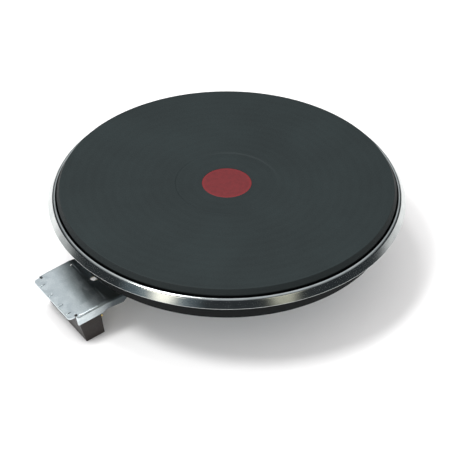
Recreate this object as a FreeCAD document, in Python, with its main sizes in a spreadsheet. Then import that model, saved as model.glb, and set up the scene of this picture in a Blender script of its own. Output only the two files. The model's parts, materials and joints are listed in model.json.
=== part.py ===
"""Sealed electric hot plate: cast-iron plate with three embedded heating coils, steel
overfall rim, thermal protector, lead-through, terminal bracket and four-pole terminal block.

Frame: +Z up, millimetres. The origin is on the plate's axis at the clamping face, the
underside of the centre stud's hexagon collar. The terminal bracket points along -X.
"""
import FreeCAD, Part
import math
import os
import Sketcher
from FreeCAD import Placement, Rotation, Vector

doc = FreeCAD.newDocument("hot_plate_burner")
sheet = doc.addObject("Spreadsheet::Sheet", "Sizes")

Y_AXIS, Z_AXIS = Vector(0, 1, 0), Vector(0, 0, 1)
# Smallest change of volume or direction that counts
TINY = 1e-6
# How far a cutting outline stands clear of the piece it cuts
CLEAR = 1
# Times its piece's own size that a cut right through reaches
FAR = 4


# --- sizes -----------------------------------------------------------------------------
class Size:
    """A size known both as a number and as the expression that ties it to the sheet."""

    def __init__(self, number, text):
        self.number = number
        self.text = text

    def __add__(self, other):
        return Size(self.number + number(other), f"({self.text} + {text(other)})")

    def __sub__(self, other):
        return Size(self.number - number(other), f"({self.text} - {text(other)})")

    def __mul__(self, other):
        return Size(self.number * number(other), f"({self.text} * {text(other)})")

    def __truediv__(self, other):
        return Size(self.number / number(other), f"({self.text} / {text(other)})")

    def __rsub__(self, other):
        return Size(number(other) - self.number, f"({text(other)} - {self.text})")

    def __neg__(self):
        return Size(-self.number, f"(-{self.text})")

    __radd__ = __add__
    __rmul__ = __mul__


def number(value):
    return value.number if isinstance(value, Size) else value


def text(value):
    return value.text if isinstance(value, Size) else repr(value)


def sine(angle):
    return Size(math.sin(math.radians(number(angle))), f"sin({text(angle)})")


def cosine(angle):
    return Size(math.cos(math.radians(number(angle))), f"cos({text(angle)})")


def tangent(angle):
    return sine(angle) / cosine(angle)


def size(alias, value, meaning):
    """One row of the sheet: meaning in column A, the plain number in column B."""
    row = size.rows = size.rows + 1
    sheet.set(f"A{row}", meaning)
    sheet.set(f"B{row}", str(value))
    sheet.setAlias(f"B{row}", alias)
    return Size(float(value), f"Sizes.{alias}")


size.rows = 0

# Cast-iron plate
plate_radius = size("plate_radius", 110, "radius of the cast plate at its widest")
bevel_width = size("bevel_width", 1.8, "width of the bevel round the top face")
bevel_drop = size("bevel_drop", 3.0, "height of the bevel round the top face")
edge_land = size("edge_land", 1.0, "upright band under the bevel")
skirt_step = size("skirt_step", 1.5, "edge of the plate in to the skirt")
skirt_straight = size("skirt_straight", 14, "top face down to where the skirt tapers")
foot_taper = size("foot_taper", 2, "taper of the skirt from its straight part to its foot")
skirt_wall = size("skirt_wall", 7.5, "thickness of the skirt under the edge")
web_depth = size("web_depth", 7, "thickness of the plate over the grooves")
groove_depth = size("groove_depth", 8, "depth of the coil grooves")
hollow_radius = size("hollow_radius", 35, "radius of the hollow in the middle of the underside")
recess_radius = size("recess_radius", 32.9, "radius of the shallow recess in the top face")
recess_depth = size("recess_depth", 0.4, "depth of the recess in the top face")
recess_slope = size("recess_slope", 0.8, "width of the recess's sloping edge")
dot_radius = size("dot_radius", 16.1, "radius of the red enamel dot")
dot_thickness = size("dot_thickness", 0.3, "thickness of the red enamel dot")
boss_radius = size("boss_radius", 9, "radius of the stud's boss")
# Grooves, coils and magnesia
first_groove = size("first_groove", 42, "radius of the innermost groove's middle line")
last_groove = size("last_groove", 9, "skirt's inside in to the outermost groove's middle line")
groove_width = size("groove_width", 6.5, "width of a groove")
groove_sweep = size("groove_sweep", 340, "angle that a groove covers")
turn_angle = size("turn_angle", 154, "direction of the coils' far turn, from +X")
coil_radius = size("coil_radius", 2.2, "outer radius of a coil's helix")
coil_start = size("coil_start", 183, "direction of the coils' ends, from +X")
coil_gap = size("coil_gap", 0.05, "clearance round a coil in its magnesia")
fill_start = size("fill_start", 186, "direction where the magnesia begins, from +X")
fill_below = size("fill_below", 0.4, "magnesia's face below the ribs' lower face")
# Overfall rim
rim_width = size("rim_width", 5.8, "edge of the plate out to the rim's outer edge")
rim_drop = size("rim_drop", 9.5, "top face down to the rim's seat on the hob")
crest_offset = size("crest_offset", 1.8, "edge of the plate out to the rim's crest")
crest_drop = size("crest_drop", 4.3, "top face down to the rim's crest")
crest_inner = size("crest_inner", 1.0, "crest to the inner edge of the rounded bead")
crest_outer = size("crest_outer", 0.9, "crest to the outer edge of the rounded bead")
bead_drop = size("bead_drop", 0.5, "fall of the bead from the crest to its edges")
rim_sheet = size("rim_sheet", 0.6, "thickness of the rim's sheet")
rim_wall_drop = size("rim_wall_drop", 1.0, "upright thickness of the rim's sloping wall")
collar_bend = size("collar_bend", 6.9, "top face down to the top of the rim's collar")
collar_depth = size("collar_depth", 10, "top face down to the foot of the rim's collar")
collar_gap = size("collar_gap", 0.1, "clearance of the rim's collar on the skirt")
hem_width = size("hem_width", 1.3, "width of the rim's flat hem")
hem_height = size("hem_height", 0.5, "height of the rim's outer band")
# Cover, insulation, stud and anti-rotation pin
cover_clear = size("cover_clear", 7.4, "lower face of the ribs down to the inside of the bottom cover")
foot_clear = size("foot_clear", 1.7, "cover's inside down to the foot of the skirt")
cover_sheet = size("cover_sheet", 0.8, "thickness of the bottom cover")
cover_gap = size("cover_gap", 0.4, "clearance of the cover inside the skirt")
cover_lip = size("cover_lip", 4, "height of the cover's turned-up lip")
swage_inset = size("swage_inset", 5, "skirt's inside in to the cover's stiffening swage")
swage_width = size("swage_width", 4, "width of the swage")
swage_rise = size("swage_rise", 1, "height of the swage")
wool_thickness = size("wool_thickness", 3.2, "thickness of the insulation ring")
wool_inside = size("wool_inside", 37, "inner radius of the insulation ring")
wool_inset = size("wool_inset", 9, "skirt's inside in to the edge of the insulation ring")
stud_root = size("stud_root", 5, "radius of the stud's root in the casting")
stud_root_length = size("stud_root_length", 13, "length of the stud's root above the cover")
stud_radius = size("stud_radius", 4, "radius of the stud's free end")
stud_proud = size("stud_proud", 0.01, "stud's end below the lowest corner of the terminal block")
stud_tip = size("stud_tip", 1, "chamfer on the stud's end")
thread_gap = size("thread_gap", 0.05, "radial clearance of screwed and pressed roots")
collar_flats = size("collar_flats", 17, "width across flats of the stud's collar")
collar_height = size("collar_height", 4, "height of the stud's collar")
hole_gap = size("hole_gap", 0.3, "radial clearance of holes in sheet metal")
pin_offset = size("pin_offset", 28, "plate's axis to the anti-rotation pin")
pin_boss_radius = size("pin_boss_radius", 4.8, "radius of the anti-rotation pin's boss")
pin_root = size("pin_root", 2.5, "radius of the anti-rotation pin's root")
pin_root_length = size("pin_root_length", 8, "length of the pin's root above the cover")
pin_radius = size("pin_radius", 2, "radius of the anti-rotation pin's free end")
pin_reach = size("pin_reach", 6, "length of the pin below the cover")
pin_tip = size("pin_tip", 0.5, "chamfer on the pin's end")
# Lead-through and leads
through_inset = size("through_inset", 20.5, "skirt's foot in to the lead-through")
through_width = size("through_width", 26, "length of the lead-through across the bracket")
through_depth = size("through_depth", 7, "width of the lead-through along the bracket")
through_flange = size("through_flange", 2, "overhang and thickness of its flange")
through_reach = size("through_reach", 5.5, "lead-through's reach below the cover")
through_pitch = size("through_pitch", 6.4, "distance between the lead-through's holes")
lead_radius = size("lead_radius", 0.7, "radius of a nickel lead")
lead_drop = size("lead_drop", 2.1, "lower face of the ribs down to the leads above the cover")
lead_gap = size("lead_gap", 0.2, "radial clearance of a lead in its ceramics")
lead_bend = size("lead_bend", 1.6, "bend radius of a lead")
bead_radius = size("bead_radius", 2.1, "outer radius of an insulating bead")
bead_length = size("bead_length", 4.6, "length of an insulating bead")
bead_space = size("bead_space", 0.2, "gap from one bead to the next")
# Terminal bracket
bracket_sheet = size("bracket_sheet", 1.2, "thickness of the bracket's sheet")
bracket_inner = size("bracket_inner", 34, "plate's axis to the bracket's inner end")
step_inset = size("step_inset", 24, "lead-through in to the top of the bracket's step")
step_drop = size("step_drop", 10.6, "cover's underside down to the bracket's flat panel")
step_angle = size("step_angle", 53, "slope of the bracket's step")
bend_inset = size("bend_inset", 0.5, "skirt's foot in to the bend of the outer panel")
panel_slope = size("panel_slope", 7.5, "downward slope of the outer panel")
panel_length = size("panel_length", 22.2, "length of the outer panel from the bend")
tab_length = size("tab_length", 4.6, "length of the end tab beyond the outer panel")
tab_width = size("tab_width", 45.3, "width of the end tab")
tab_corner = size("tab_corner", 2.5, "corner radius of the end tab")
notch_width = size("notch_width", 3.9, "width of the corner notches beside the tab")
notch_length = size("notch_length", 1.8, "depth of the corner notches")
flange_depth = size("flange_depth", 5.3, "depth of the side flanges")
flange_extra = size("flange_extra", 1.4, "extra depth of the flanges over the block")
flange_run = size("flange_run", 17.5, "length of the deeper stretch of the flanges")
flange_ramp = size("flange_ramp", 3.5, "length of the slanted edge behind it")
flange_inset = size("flange_inset", 15, "bend of the outer panel in to the end of the flanges")
hole_inset = size("hole_inset", 5.3, "bend of the outer panel in to the bracket's round hole")
hole_radius = size("hole_radius", 3, "radius of the bracket's round hole")
window_length = size("window_length", 15, "bracket window's length for the leads")
window_width = size("window_width", 34, "bracket window's width")
rivet_radius = size("rivet_radius", 2, "radius of a bracket rivet")
rivet_head = size("rivet_head", 3.6, "radius of a rivet's head")
rivet_head_height = size("rivet_head_height", 1.2, "height of a rivet's head")
rivet_margin = size("rivet_margin", 6, "bracket's inner end out to the first rivet")
rivet_inset = size("rivet_inset", 8, "top of the bracket's step in to the outer rivets")
rivet_spread = size("rivet_spread", 30, "distance between the outer rivets")
earth_width = size("earth_width", 6.3, "width of the earth tab")
earth_sheet = size("earth_sheet", 0.8, "thickness of the earth tab")
earth_length = size("earth_length", 13, "length of the earth tab's blade")
earth_foot = size("earth_foot", 8, "length of the earth tab's welded foot")
earth_edge = size("earth_edge", 4.6, "bracket's side in to the middle of the earth tab")
earth_inset = size("earth_inset", 9, "bend of the outer panel in to the earth tab's blade")
# Terminal block
pole_count = 4
pole_pitch = size("pole_pitch", 11.1, "distance from one terminal to the next")
block_setback = size("block_setback", 3.4, "outer panel's end to the block's outer face")
block_length = size("block_length", 13.4, "block's length along the bracket")
block_height = size("block_height", 22.8, "block's height below the panel")
block_rake = size("block_rake", 3, "lean of the block's outer face, out towards the panel")
block_gap = size("block_gap", 0.15, "clearance of the block between the flanges")
core_height = size("core_height", 11, "height of the block's solid core")
barrier_width = size("barrier_width", 1.8, "thickness of the walls between terminals")
end_wall = size("end_wall", 2.25, "thickness of the block's two end walls")
bar_width = size("bar_width", 7.4, "width of a contact bar")
bar_thickness = size("bar_thickness", 1.5, "thickness of a contact bar")
front_wall = size("front_wall", 1.6, "thickness of the block's outer wall at its foot")
bar_inset = size("bar_inset", 1.8, "block's outer face to the contact bar's end")
bar_tail = size("bar_tail", 2.4, "contact bar's reach past the block's inner face")
washer_width = size("washer_width", 8.2, "width of a clamp washer")
washer_length = size("washer_length", 9, "length of a clamp washer")
washer_thickness = size("washer_thickness", 1.2, "thickness of a clamp washer")
clamp_gap = size("clamp_gap", 0.04, "gap left between the clamped faces")
screw_radius = size("screw_radius", 2, "radius of a terminal screw's shank")
screw_gap = size("screw_gap", 0.06, "radial clearance of the screw in bar and washer")
screw_reach = size("screw_reach", 8, "length of the screw's shank above the contact bar")
screw_head = size("screw_head", 3.7, "radius of a terminal screw's head")
screw_head_height = size("screw_head_height", 2.8, "height of a terminal screw's head")
slot_width = size("slot_width", 1.1, "width of a screw's slot")
slot_depth = size("slot_depth", 1.3, "depth of a screw's slot")
well_gap = size("well_gap", 0.5, "clearance round the screw's end in the block's core")
# Thermal protector
protector_near = size("protector_near", 12.5, "plate's axis to the protector's near side")
protector_depth = size("protector_depth", 18, "protector's length along X")
protector_width = size("protector_width", 26, "protector's length along Y")
protector_top = size("protector_top", 7.6, "top face down to the protector's upper face")
protector_height = size("protector_height", 10.6, "height of the protector's housing")
disc_radius = size("disc_radius", 6.5, "radius of the bimetal disc")
disc_gap = size("disc_gap", 0.2, "clearance round the bimetal disc")
disc_thickness = size("disc_thickness", 0.3, "thickness of the bimetal disc")
disc_rise = size("disc_rise", 0.6, "height of the bimetal disc's dome")
disc_seat = size("disc_seat", 2.4, "protector's upper face down to the disc's seat")
disc_side = size("disc_side", 3, "protector's middle to the disc's middle, along Y")
push_radius = size("push_radius", 1.1, "radius of the push pin")
push_gap = size("push_gap", 0.06, "radial clearance of the push pin")
push_clear = size("push_clear", 0.1, "push pin's end gaps to disc and arm")
chamber_top = size("chamber_top", 5.4, "protector's upper face down to its chamber")
chamber_wall = size("chamber_wall", 2, "thickness of the chamber's end walls")
chamber_depth = size("chamber_depth", 11, "chamber's length along X")
arm_width = size("arm_width", 6, "width of the contact arm")
arm_thickness = size("arm_thickness", 0.5, "thickness of the contact arm")
arm_drop = size("arm_drop", 1.2, "chamber's roof down to the contact arm")
arm_root = size("arm_root", 10, "protector's middle to the arm's bend, along Y")
arm_tip = size("arm_tip", 9, "protector's middle to the arm's free end, along Y")
arm_split = size("arm_split", 0.4, "gap between the arm and its anchor")
contact_radius = size("contact_radius", 1.4, "radius of a contact rivet")
contact_gap = size("contact_gap", 0.05, "gap left between the closed contacts")
contact_side = size("contact_side", 7, "protector's middle to the contacts, along Y")
strip_thickness = size("strip_thickness", 0.5, "thickness of the fixed contact's strip")
tag_reach = size("tag_reach", 2.5, "reach of the protector's connecting tags")
base_thickness = size("base_thickness", 1, "thickness of the protector's base plate")
clip_width = size("clip_width", 6, "width of the protector's spring clip")
clip_sheet = size("clip_sheet", 0.4, "thickness of the protector's spring clip")
clip_gap = size("clip_gap", 0.1, "gap left between spring clip and cover")

doc.recompute()

# Depths and heights that several pieces share
rib_depth = web_depth + groove_depth
coil_depth = web_depth + groove_depth / 2
cover_depth = rib_depth + cover_clear
plate_depth = cover_depth + foot_clear
lead_layer = rib_depth + lead_drop
cover_under = collar_height
cover_top = cover_under + cover_sheet
plate_top = cover_top + cover_depth
panel_top = cover_under - step_drop

# Radii and distances from the plate's axis that several pieces share
skirt_radius = plate_radius - skirt_step
foot_radius = skirt_radius - foot_taper
skirt_inside = skirt_radius - skirt_wall
swage_radius = skirt_inside - swage_inset
wool_outside = skirt_inside - wool_inset
rim_radius = plate_radius + rim_width
crest_radius = plate_radius + crest_offset
through_offset = foot_radius - through_inset
bracket_step = through_offset - step_inset
bend_offset = foot_radius - bend_inset
flange_end = bend_offset - flange_inset
hole_offset = bend_offset - hole_inset
earth_offset = bend_offset - earth_inset
rivet_inner = bracket_inner + rivet_margin
rivet_outer = bracket_step - rivet_inset


def below_top(depth):
    """Height of a point that lies at this depth under the plate's top face."""
    return plate_top - depth


# --- tools -----------------------------------------------------------------------------
def tie(item, path, value):
    """Bind a property to the sheet, or set it where the value is a plain number."""
    item.setExpression(path, text(value))


def place(item, x=0, y=0, z=0, axis=Z_AXIS, angle=0):
    """Put an object in place, turned about the axis, with each coordinate tied to the sheet."""
    base = Vector(number(x), number(y), number(z))
    item.Placement = Placement(base, Rotation(axis, number(angle)))
    for letter, value in (("x", x), ("y", y), ("z", z)):
        if isinstance(value, Size):
            tie(item, f".Placement.Base.{letter}", value)
    if isinstance(angle, Size):
        tie(item, ".Placement.Rotation.Angle", angle * Size(1, "1 deg"))
    return item


def new_body(label):
    body = doc.addObject("PartDesign::Body", label)
    body.Label = label
    return body


def new_sketch(body, name, role, offset=0):
    """A sketch on one of the body's own origin planes, moved along the plane's normal."""
    sketch = body.newObject("Sketcher::SketchObject", name)
    origin = next(item for item in body.Origin.OriginFeatures if item.Role == role)
    sketch.AttachmentSupport = [(origin, "")]
    sketch.MapMode = "FlatFace"
    if isinstance(offset, Size):
        tie(sketch, ".AttachmentOffset.Base.z", offset)
    return sketch


def tie_point(sketch, kind, geometry, point, value):
    row = sketch.addConstraint(Sketcher.Constraint(kind, -1, 1, geometry, point, number(value)))
    if isinstance(value, Size):
        tie(sketch, f"Constraints[{row}]", value)


def add_outline(sketch, corners):
    """A closed outline of straight edges; each corner is tied by its two coordinates."""
    first = sketch.GeometryCount
    points = [Vector(number(u), number(v), 0) for u, v in corners]
    ends = points[1:] + points[:1]
    for start, end in zip(points, ends):
        sketch.addGeometry(Part.LineSegment(start, end))
    for index, (u, v) in enumerate(corners):
        after = first + (index + 1) % len(corners)
        sketch.addConstraint(Sketcher.Constraint("Coincident", first + index, 2, after, 1))
        tie_point(sketch, "DistanceX", first + index, 1, u)
        tie_point(sketch, "DistanceY", first + index, 1, v)
    return sketch


def add_circle(sketch, u, v, radius):
    centre = Vector(number(u), number(v), 0)
    index = sketch.addGeometry(Part.Circle(centre, Z_AXIS, number(radius)))
    tie_point(sketch, "DistanceX", index, 3, u)
    tie_point(sketch, "DistanceY", index, 3, v)
    row = sketch.addConstraint(Sketcher.Constraint("Radius", index, number(radius)))
    tie(sketch, f"Constraints[{row}]", radius)
    return sketch


def box_corners(u0, v0, u1, v1):
    return [(u0, v0), (u1, v0), (u1, v1), (u0, v1)]


def add_pad(body, sketch, length, both_ways=False):
    pad = body.newObject("PartDesign::Pad", sketch.Name + "Pad")
    pad.Profile = sketch
    pad.Midplane = both_ways
    tie(pad, "Length", length)
    doc.recompute()
    return pad


def add_turn(body, sketch):
    turn = body.newObject("PartDesign::Revolution", sketch.Name + "Turn")
    turn.Profile = sketch
    turn.ReferenceAxis = (sketch, ["V_Axis"])
    doc.recompute()
    return turn


def cut(body, kind, sketch, settle):
    """Add a pocket or groove and turn it round if it points away from the solid."""
    before = body.Shape.Volume
    feature = body.newObject(kind, sketch.Name + "Cut")
    feature.Profile = sketch
    settle(feature)
    doc.recompute()
    if feature.Shape.isNull() or feature.Shape.Volume > before - TINY:
        feature.Reversed = not feature.Reversed
        doc.recompute()
    if feature.Shape.Volume > before - TINY:
        raise RuntimeError(f"{feature.Name} removes nothing")
    return feature


def add_pocket(body, sketch, depth=None, both_ways=False):
    """A pocket of this depth, or through the whole body without one."""

    def settle(pocket):
        pocket.Midplane = both_ways
        if depth is None:
            pocket.Type = "ThroughAll"
        else:
            tie(pocket, "Length", depth)

    return cut(body, "PartDesign::Pocket", sketch, settle)


def add_groove(body, sketch, angle):
    def settle(groove):
        groove.ReferenceAxis = (sketch, ["V_Axis"])
        tie(groove, "Angle", angle)

    return cut(body, "PartDesign::Groove", sketch, settle)


def turned(label, corners):
    """A piece turned about Z from its half section in the XZ plane."""
    body = new_body(label)
    add_turn(body, add_outline(new_sketch(body, label + "_section", "XZ_Plane"), corners))
    return body


def sawn(label, role, corners, length, both_ways=True):
    """A piece cut from an outline, reaching the same way to both sides of the plane."""
    body = new_body(label)
    add_pad(body, add_outline(new_sketch(body, label + "_outline", role), corners), length, both_ways)
    return body


def cylinder(name, radius, height, x=0, y=0, z=0, sweep=360, angle=0):
    item = doc.addObject("Part::Cylinder", name)
    tie(item, "Radius", radius)
    tie(item, "Height", height)
    tie(item, "Angle", sweep)
    return place(item, x, y, z, angle=angle)


def ring_arc(name, radius, tube, sweep, x=0, y=0, z=0, angle=0):
    item = doc.addObject("Part::Torus", name)
    tie(item, "Radius1", radius)
    tie(item, "Radius2", tube)
    tie(item, "Angle3", sweep)
    return place(item, x, y, z, angle=angle)


def fused(name, items):
    fusion = doc.addObject("Part::MultiFuse", name)
    fusion.Shapes = items
    return fusion


def minus(name, base, tool):
    result = doc.addObject("Part::Cut", name)
    result.Base = base
    result.Tool = tool
    return result


def from_shape(label, shape, placement=None):
    """A piece whose shape is worked out with Part's own functions."""
    item = doc.addObject("Part::Feature", label)
    item.Shape = shape
    item.Label = label
    if placement:
        item.Placement = placement
    return item


# Largest share of a run that the arc at one of its ends takes
RUN_SHARE = 0.45


def wire_path(points, radius):
    """Straight runs through the points, joined by arcs; a short run gets smaller arcs."""
    edges = []
    start = points[0]
    for before, corner, after in zip(points, points[1:], points[2:]):
        into = (corner - before).normalize()
        out = (after - corner).normalize()
        turn = into.getAngle(out)
        if turn < TINY:
            continue
        room = RUN_SHARE * min((corner - before).Length, (after - corner).Length)
        reach = min(radius * math.tan(turn / 2), room)
        first, last = corner - into * reach, corner + out * reach
        centre_line = (out - into).normalize()
        bend = reach / math.tan(turn / 2)
        middle = corner + centre_line * (bend / math.cos(turn / 2) - bend)
        edges.append(Part.LineSegment(start, first).toShape())
        edges.append(Part.Arc(first, middle, last).toShape())
        start = last
    edges.append(Part.LineSegment(start, points[-1]).toShape())
    return Part.Wire(edges)


def round_wire(points, radius, bend):
    path = wire_path(points, bend)
    along = (points[1] - points[0]).normalize()
    section = Part.Wire(Part.Circle(points[0], along, radius).toShape())
    return path.makePipeShell([section], True, True)


# --- cast-iron plate, dot and rim ------------------------------------------------------
circuits = ("inner", "middle", "outer")
groove_count = 2 * len(circuits)
groove_pitch = (skirt_inside - last_groove - first_groove) / (groove_count - 1)
groove_radii = [first_groove + groove_pitch * step for step in range(groove_count)]
rib_under = below_top(rib_depth)
turn_radii = [first_groove + groove_pitch * (2 * step + 0.5) for step in range(len(circuits))]
turn_reach = (groove_pitch + groove_width) / 2


def build_plate():
    recess = below_top(recess_depth)
    pocket = below_top(recess_depth + dot_thickness)
    edge = below_top(bevel_drop + edge_land)
    foot = below_top(plate_depth)
    web = below_top(web_depth)
    root_top = cover_top + stud_root_length
    root_hole = stud_root + thread_gap
    plate = turned("cast_iron_plate", [
        (0, pocket),
        (dot_radius, pocket),
        (dot_radius, recess),
        (recess_radius, recess),
        (recess_radius + recess_slope, plate_top),
        (plate_radius - bevel_width, plate_top),
        (plate_radius, below_top(bevel_drop)),
        (plate_radius, edge),
        (skirt_radius, edge - edge_land),
        (skirt_radius, below_top(skirt_straight)),
        (foot_radius, foot),
        (skirt_inside, foot),
        (skirt_inside, rib_under),
        (hollow_radius, rib_under),
        (hollow_radius, web),
        (boss_radius, web),
        (boss_radius, cover_top),
        (root_hole, cover_top),
        (root_hole, root_top + thread_gap),
        (0, root_top + thread_gap),
    ])
    grooves = new_sketch(plate, "coil_grooves", "XZ_Plane")
    for radius in groove_radii:
        near, far = radius - groove_width / 2, radius + groove_width / 2
        add_outline(grooves, box_corners(-far, rib_under, -near, web))
    add_groove(plate, grooves, groove_sweep)
    turns = new_sketch(plate, "coil_turns", "XY_Plane", rib_under)
    for radius in turn_radii:
        add_circle(turns, radius * cosine(turn_angle), radius * sine(turn_angle), turn_reach)
    add_pocket(plate, turns, groove_depth)
    boss = new_sketch(plate, "pin_boss", "XY_Plane", cover_top)
    add_circle(boss, 0, pin_offset, pin_boss_radius)
    add_pad(plate, boss, cover_depth - web_depth + CLEAR / 2)
    hole = new_sketch(plate, "pin_hole", "XY_Plane", cover_top)
    add_circle(hole, 0, pin_offset, pin_root + thread_gap)
    add_pocket(plate, hole, pin_root_length + thread_gap)
    return plate


def build_dot():
    recess = below_top(recess_depth)
    return turned("red_dot", [
        (0, recess - dot_thickness),
        (dot_radius, recess - dot_thickness),
        (dot_radius, recess),
        (0, recess),
    ])


def build_rim():
    inner = skirt_radius + collar_gap
    shoulder = crest_drop + bead_drop
    outer_top = rim_drop - hem_height
    slope = (outer_top - shoulder) / (rim_radius - crest_radius - crest_outer)
    hem_inside = rim_radius - hem_width
    hem_roof = shoulder + (hem_inside - crest_radius - crest_outer) * slope + rim_wall_drop
    return turned("overfall_rim", [
        (inner, below_top(collar_depth)),
        (inner, below_top(collar_bend)),
        (crest_radius - crest_inner, below_top(shoulder)),
        (crest_radius, below_top(crest_drop)),
        (crest_radius + crest_outer, below_top(shoulder)),
        (rim_radius, below_top(outer_top)),
        (rim_radius, below_top(rim_drop)),
        (hem_inside, below_top(rim_drop)),
        (hem_inside, below_top(hem_roof)),
        (crest_radius + crest_outer / 2, below_top(shoulder + rim_sheet)),
        (inner + rim_sheet, below_top(collar_bend + rim_sheet / 2)),
        (inner + rim_sheet, below_top(collar_depth)),
    ])


# --- coils and magnesia ----------------------------------------------------------------
def coil_arcs(circuit, near, far, turn, tube, name):
    """The two long arcs of a coil and the half turn that joins them."""
    height = below_top(coil_depth)
    long_way = turn_angle + 360 - coil_start
    return [
        ring_arc(f"{name}_{circuit}_near", near, tube, long_way, z=height, angle=coil_start),
        ring_arc(f"{name}_{circuit}_far", far, tube, long_way, z=height, angle=coil_start),
        ring_arc(f"{name}_{circuit}_turn", groove_pitch / 2, tube, 180,
                 turn * cosine(turn_angle), turn * sine(turn_angle), height, turn_angle),
    ]


def build_circuit(circuit, near, far, turn):
    coil = fused(f"heating_coil_{circuit}", coil_arcs(circuit, near, far, turn, coil_radius, "coil"))
    coil.Label = coil.Name
    low = rib_under - fill_below
    depth = groove_depth + fill_below
    sweep = groove_sweep + 180 - fill_start
    half = groove_width / 2
    solid = []
    for side, radius in (("near", near), ("far", far)):
        name = f"fill_{circuit}_{side}"
        whole = cylinder(name, radius + half, depth, z=low, sweep=sweep, angle=fill_start)
        core = cylinder(f"core_{circuit}_{side}", radius - half, depth, z=low)
        solid.append(minus(f"band_{circuit}_{side}", whole, core))
    solid.append(cylinder(f"fill_{circuit}_turn", turn_reach, depth,
                          turn * cosine(turn_angle), turn * sine(turn_angle), low))
    bores = coil_arcs(circuit, near, far, turn, coil_radius + coil_gap, "bore")
    tunnel = fused(f"tunnel_{circuit}", bores)
    fill = minus(f"magnesia_{circuit}", fused(f"filling_{circuit}", solid), tunnel)
    fill.Label = fill.Name
    return [coil, fill]


# --- outer panel, terminal block and lead-through: sizes that several pieces share -------
step_run = step_drop / tangent(step_angle)
outward = cosine(panel_slope)
downward = sine(panel_slope)
pole_sides = [pole_pitch * (step - (pole_count - 1) / 2) for step in range(pole_count)]
block_width = pole_pitch * pole_count - barrier_width + end_wall * 2
bracket_width = block_width + (bracket_sheet + block_gap) * 2
block_out = -(panel_length - block_setback)
block_in = block_out + block_length
screw_x = block_out + block_length / 2
core_under = -bracket_sheet - core_height
bar_under = core_under - bar_thickness
block_under = -bracket_sheet - block_height
through_sides = [through_pitch * (step - (pole_count - 1) / 2) for step in range(pole_count)]
through_hole_x = through_depth / 2 + hole_gap
through_hole_y = through_width / 2 + hole_gap


# --- cover, insulation, stud and pin ---------------------------------------------------


def rivet_places():
    half = rivet_spread / 2
    return [(-rivet_inner, 0), (-rivet_outer, -half), (-rivet_outer, half)]


def build_cover():
    edge = skirt_inside - cover_gap
    near, far = swage_radius - swage_width / 2, swage_radius + swage_width / 2
    cover = turned("bottom_cover", [
        (0, cover_under),
        (near, cover_under),
        (near, cover_under + swage_rise),
        (far, cover_under + swage_rise),
        (far, cover_under),
        (edge, cover_under),
        (edge, cover_under + cover_lip),
        (edge - cover_sheet, cover_under + cover_lip),
        (edge - cover_sheet, cover_top),
        (far + cover_sheet, cover_top),
        (far + cover_sheet, cover_top + swage_rise),
        (near - cover_sheet, cover_top + swage_rise),
        (near - cover_sheet, cover_top),
        (0, cover_top),
    ])
    holes = new_sketch(cover, "cover_holes", "XY_Plane")
    add_circle(holes, 0, 0, stud_root + hole_gap)
    add_circle(holes, 0, pin_offset, pin_root + hole_gap)
    for x, y in rivet_places():
        add_circle(holes, x, y, rivet_radius + thread_gap)
    x, half_x, half_y = -through_offset, through_hole_x, through_hole_y
    add_outline(holes, box_corners(x - half_x, -half_y, x + half_x, half_y))
    add_pocket(cover, holes)
    return cover


def build_insulation():
    ring = turned("insulation_ring", box_corners(
        wool_inside, cover_top, wool_outside, cover_top + wool_thickness))
    window = new_sketch(ring, "insulation_window", "XY_Plane")
    reach = through_depth / 2 + through_flange + hole_gap
    half = through_width / 2 + through_flange + hole_gap
    outer = wool_outside + hole_gap
    add_outline(window, box_corners(-outer, -half, -through_offset + reach, half))
    heads = rivet_head + hole_gap
    for x, y in rivet_places():
        add_circle(window, x, y, heads)
    add_pocket(ring, window)
    return ring


def build_stud():
    lowest_corner = panel_top + block_out * downward + block_under * outward
    stud_reach = stud_proud - lowest_corner
    root_top = cover_top + stud_root_length
    stud = new_body("centre_stud")
    flats = collar_flats / 2
    corner = flats / cosine(30)
    hexagon = new_sketch(stud, "collar_hexagon", "XY_Plane")
    add_outline(hexagon, [(corner * cosine(60 * step), corner * sine(60 * step)) for step in range(6)])
    add_pad(stud, hexagon, collar_height)
    shank = new_sketch(stud, "stud_section", "XZ_Plane")
    add_outline(shank, [
        (0, -stud_reach),
        (stud_radius - stud_tip, -stud_reach),
        (stud_radius, stud_tip - stud_reach),
        (stud_radius, 0),
        (stud_radius, collar_height / 2),
        (stud_root, collar_height / 2),
        (stud_root, root_top - stud_tip),
        (stud_root - stud_tip, root_top),
        (0, root_top),
    ])
    add_turn(stud, shank)
    return stud


def build_pin():
    pin = turned("anti_rotation_pin", [
        (0, cover_under - pin_reach),
        (pin_radius - pin_tip, cover_under - pin_reach),
        (pin_radius, cover_under - pin_reach + pin_tip),
        (pin_radius, cover_under),
        (pin_root, cover_under),
        (pin_root, cover_top + pin_root_length),
        (0, cover_top + pin_root_length),
    ])
    return place(pin, 0, pin_offset, 0)


# --- terminal bracket ------------------------------------------------------------------
def along_panel(distance, depth=0):
    """Point of the side view: this far out along the outer panel and this deep under its top."""
    x = -bend_offset - distance * outward + depth * downward
    z = panel_top - distance * downward - depth * outward
    return x, z


def on_panel(item, x, y, z=0):
    """Put a piece in the outer panel's own frame: x inward along it, z square to its top."""
    return place(item, -bend_offset + x * outward - z * downward, y,
                 panel_top + x * downward + z * outward, Y_AXIS, -panel_slope)


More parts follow.
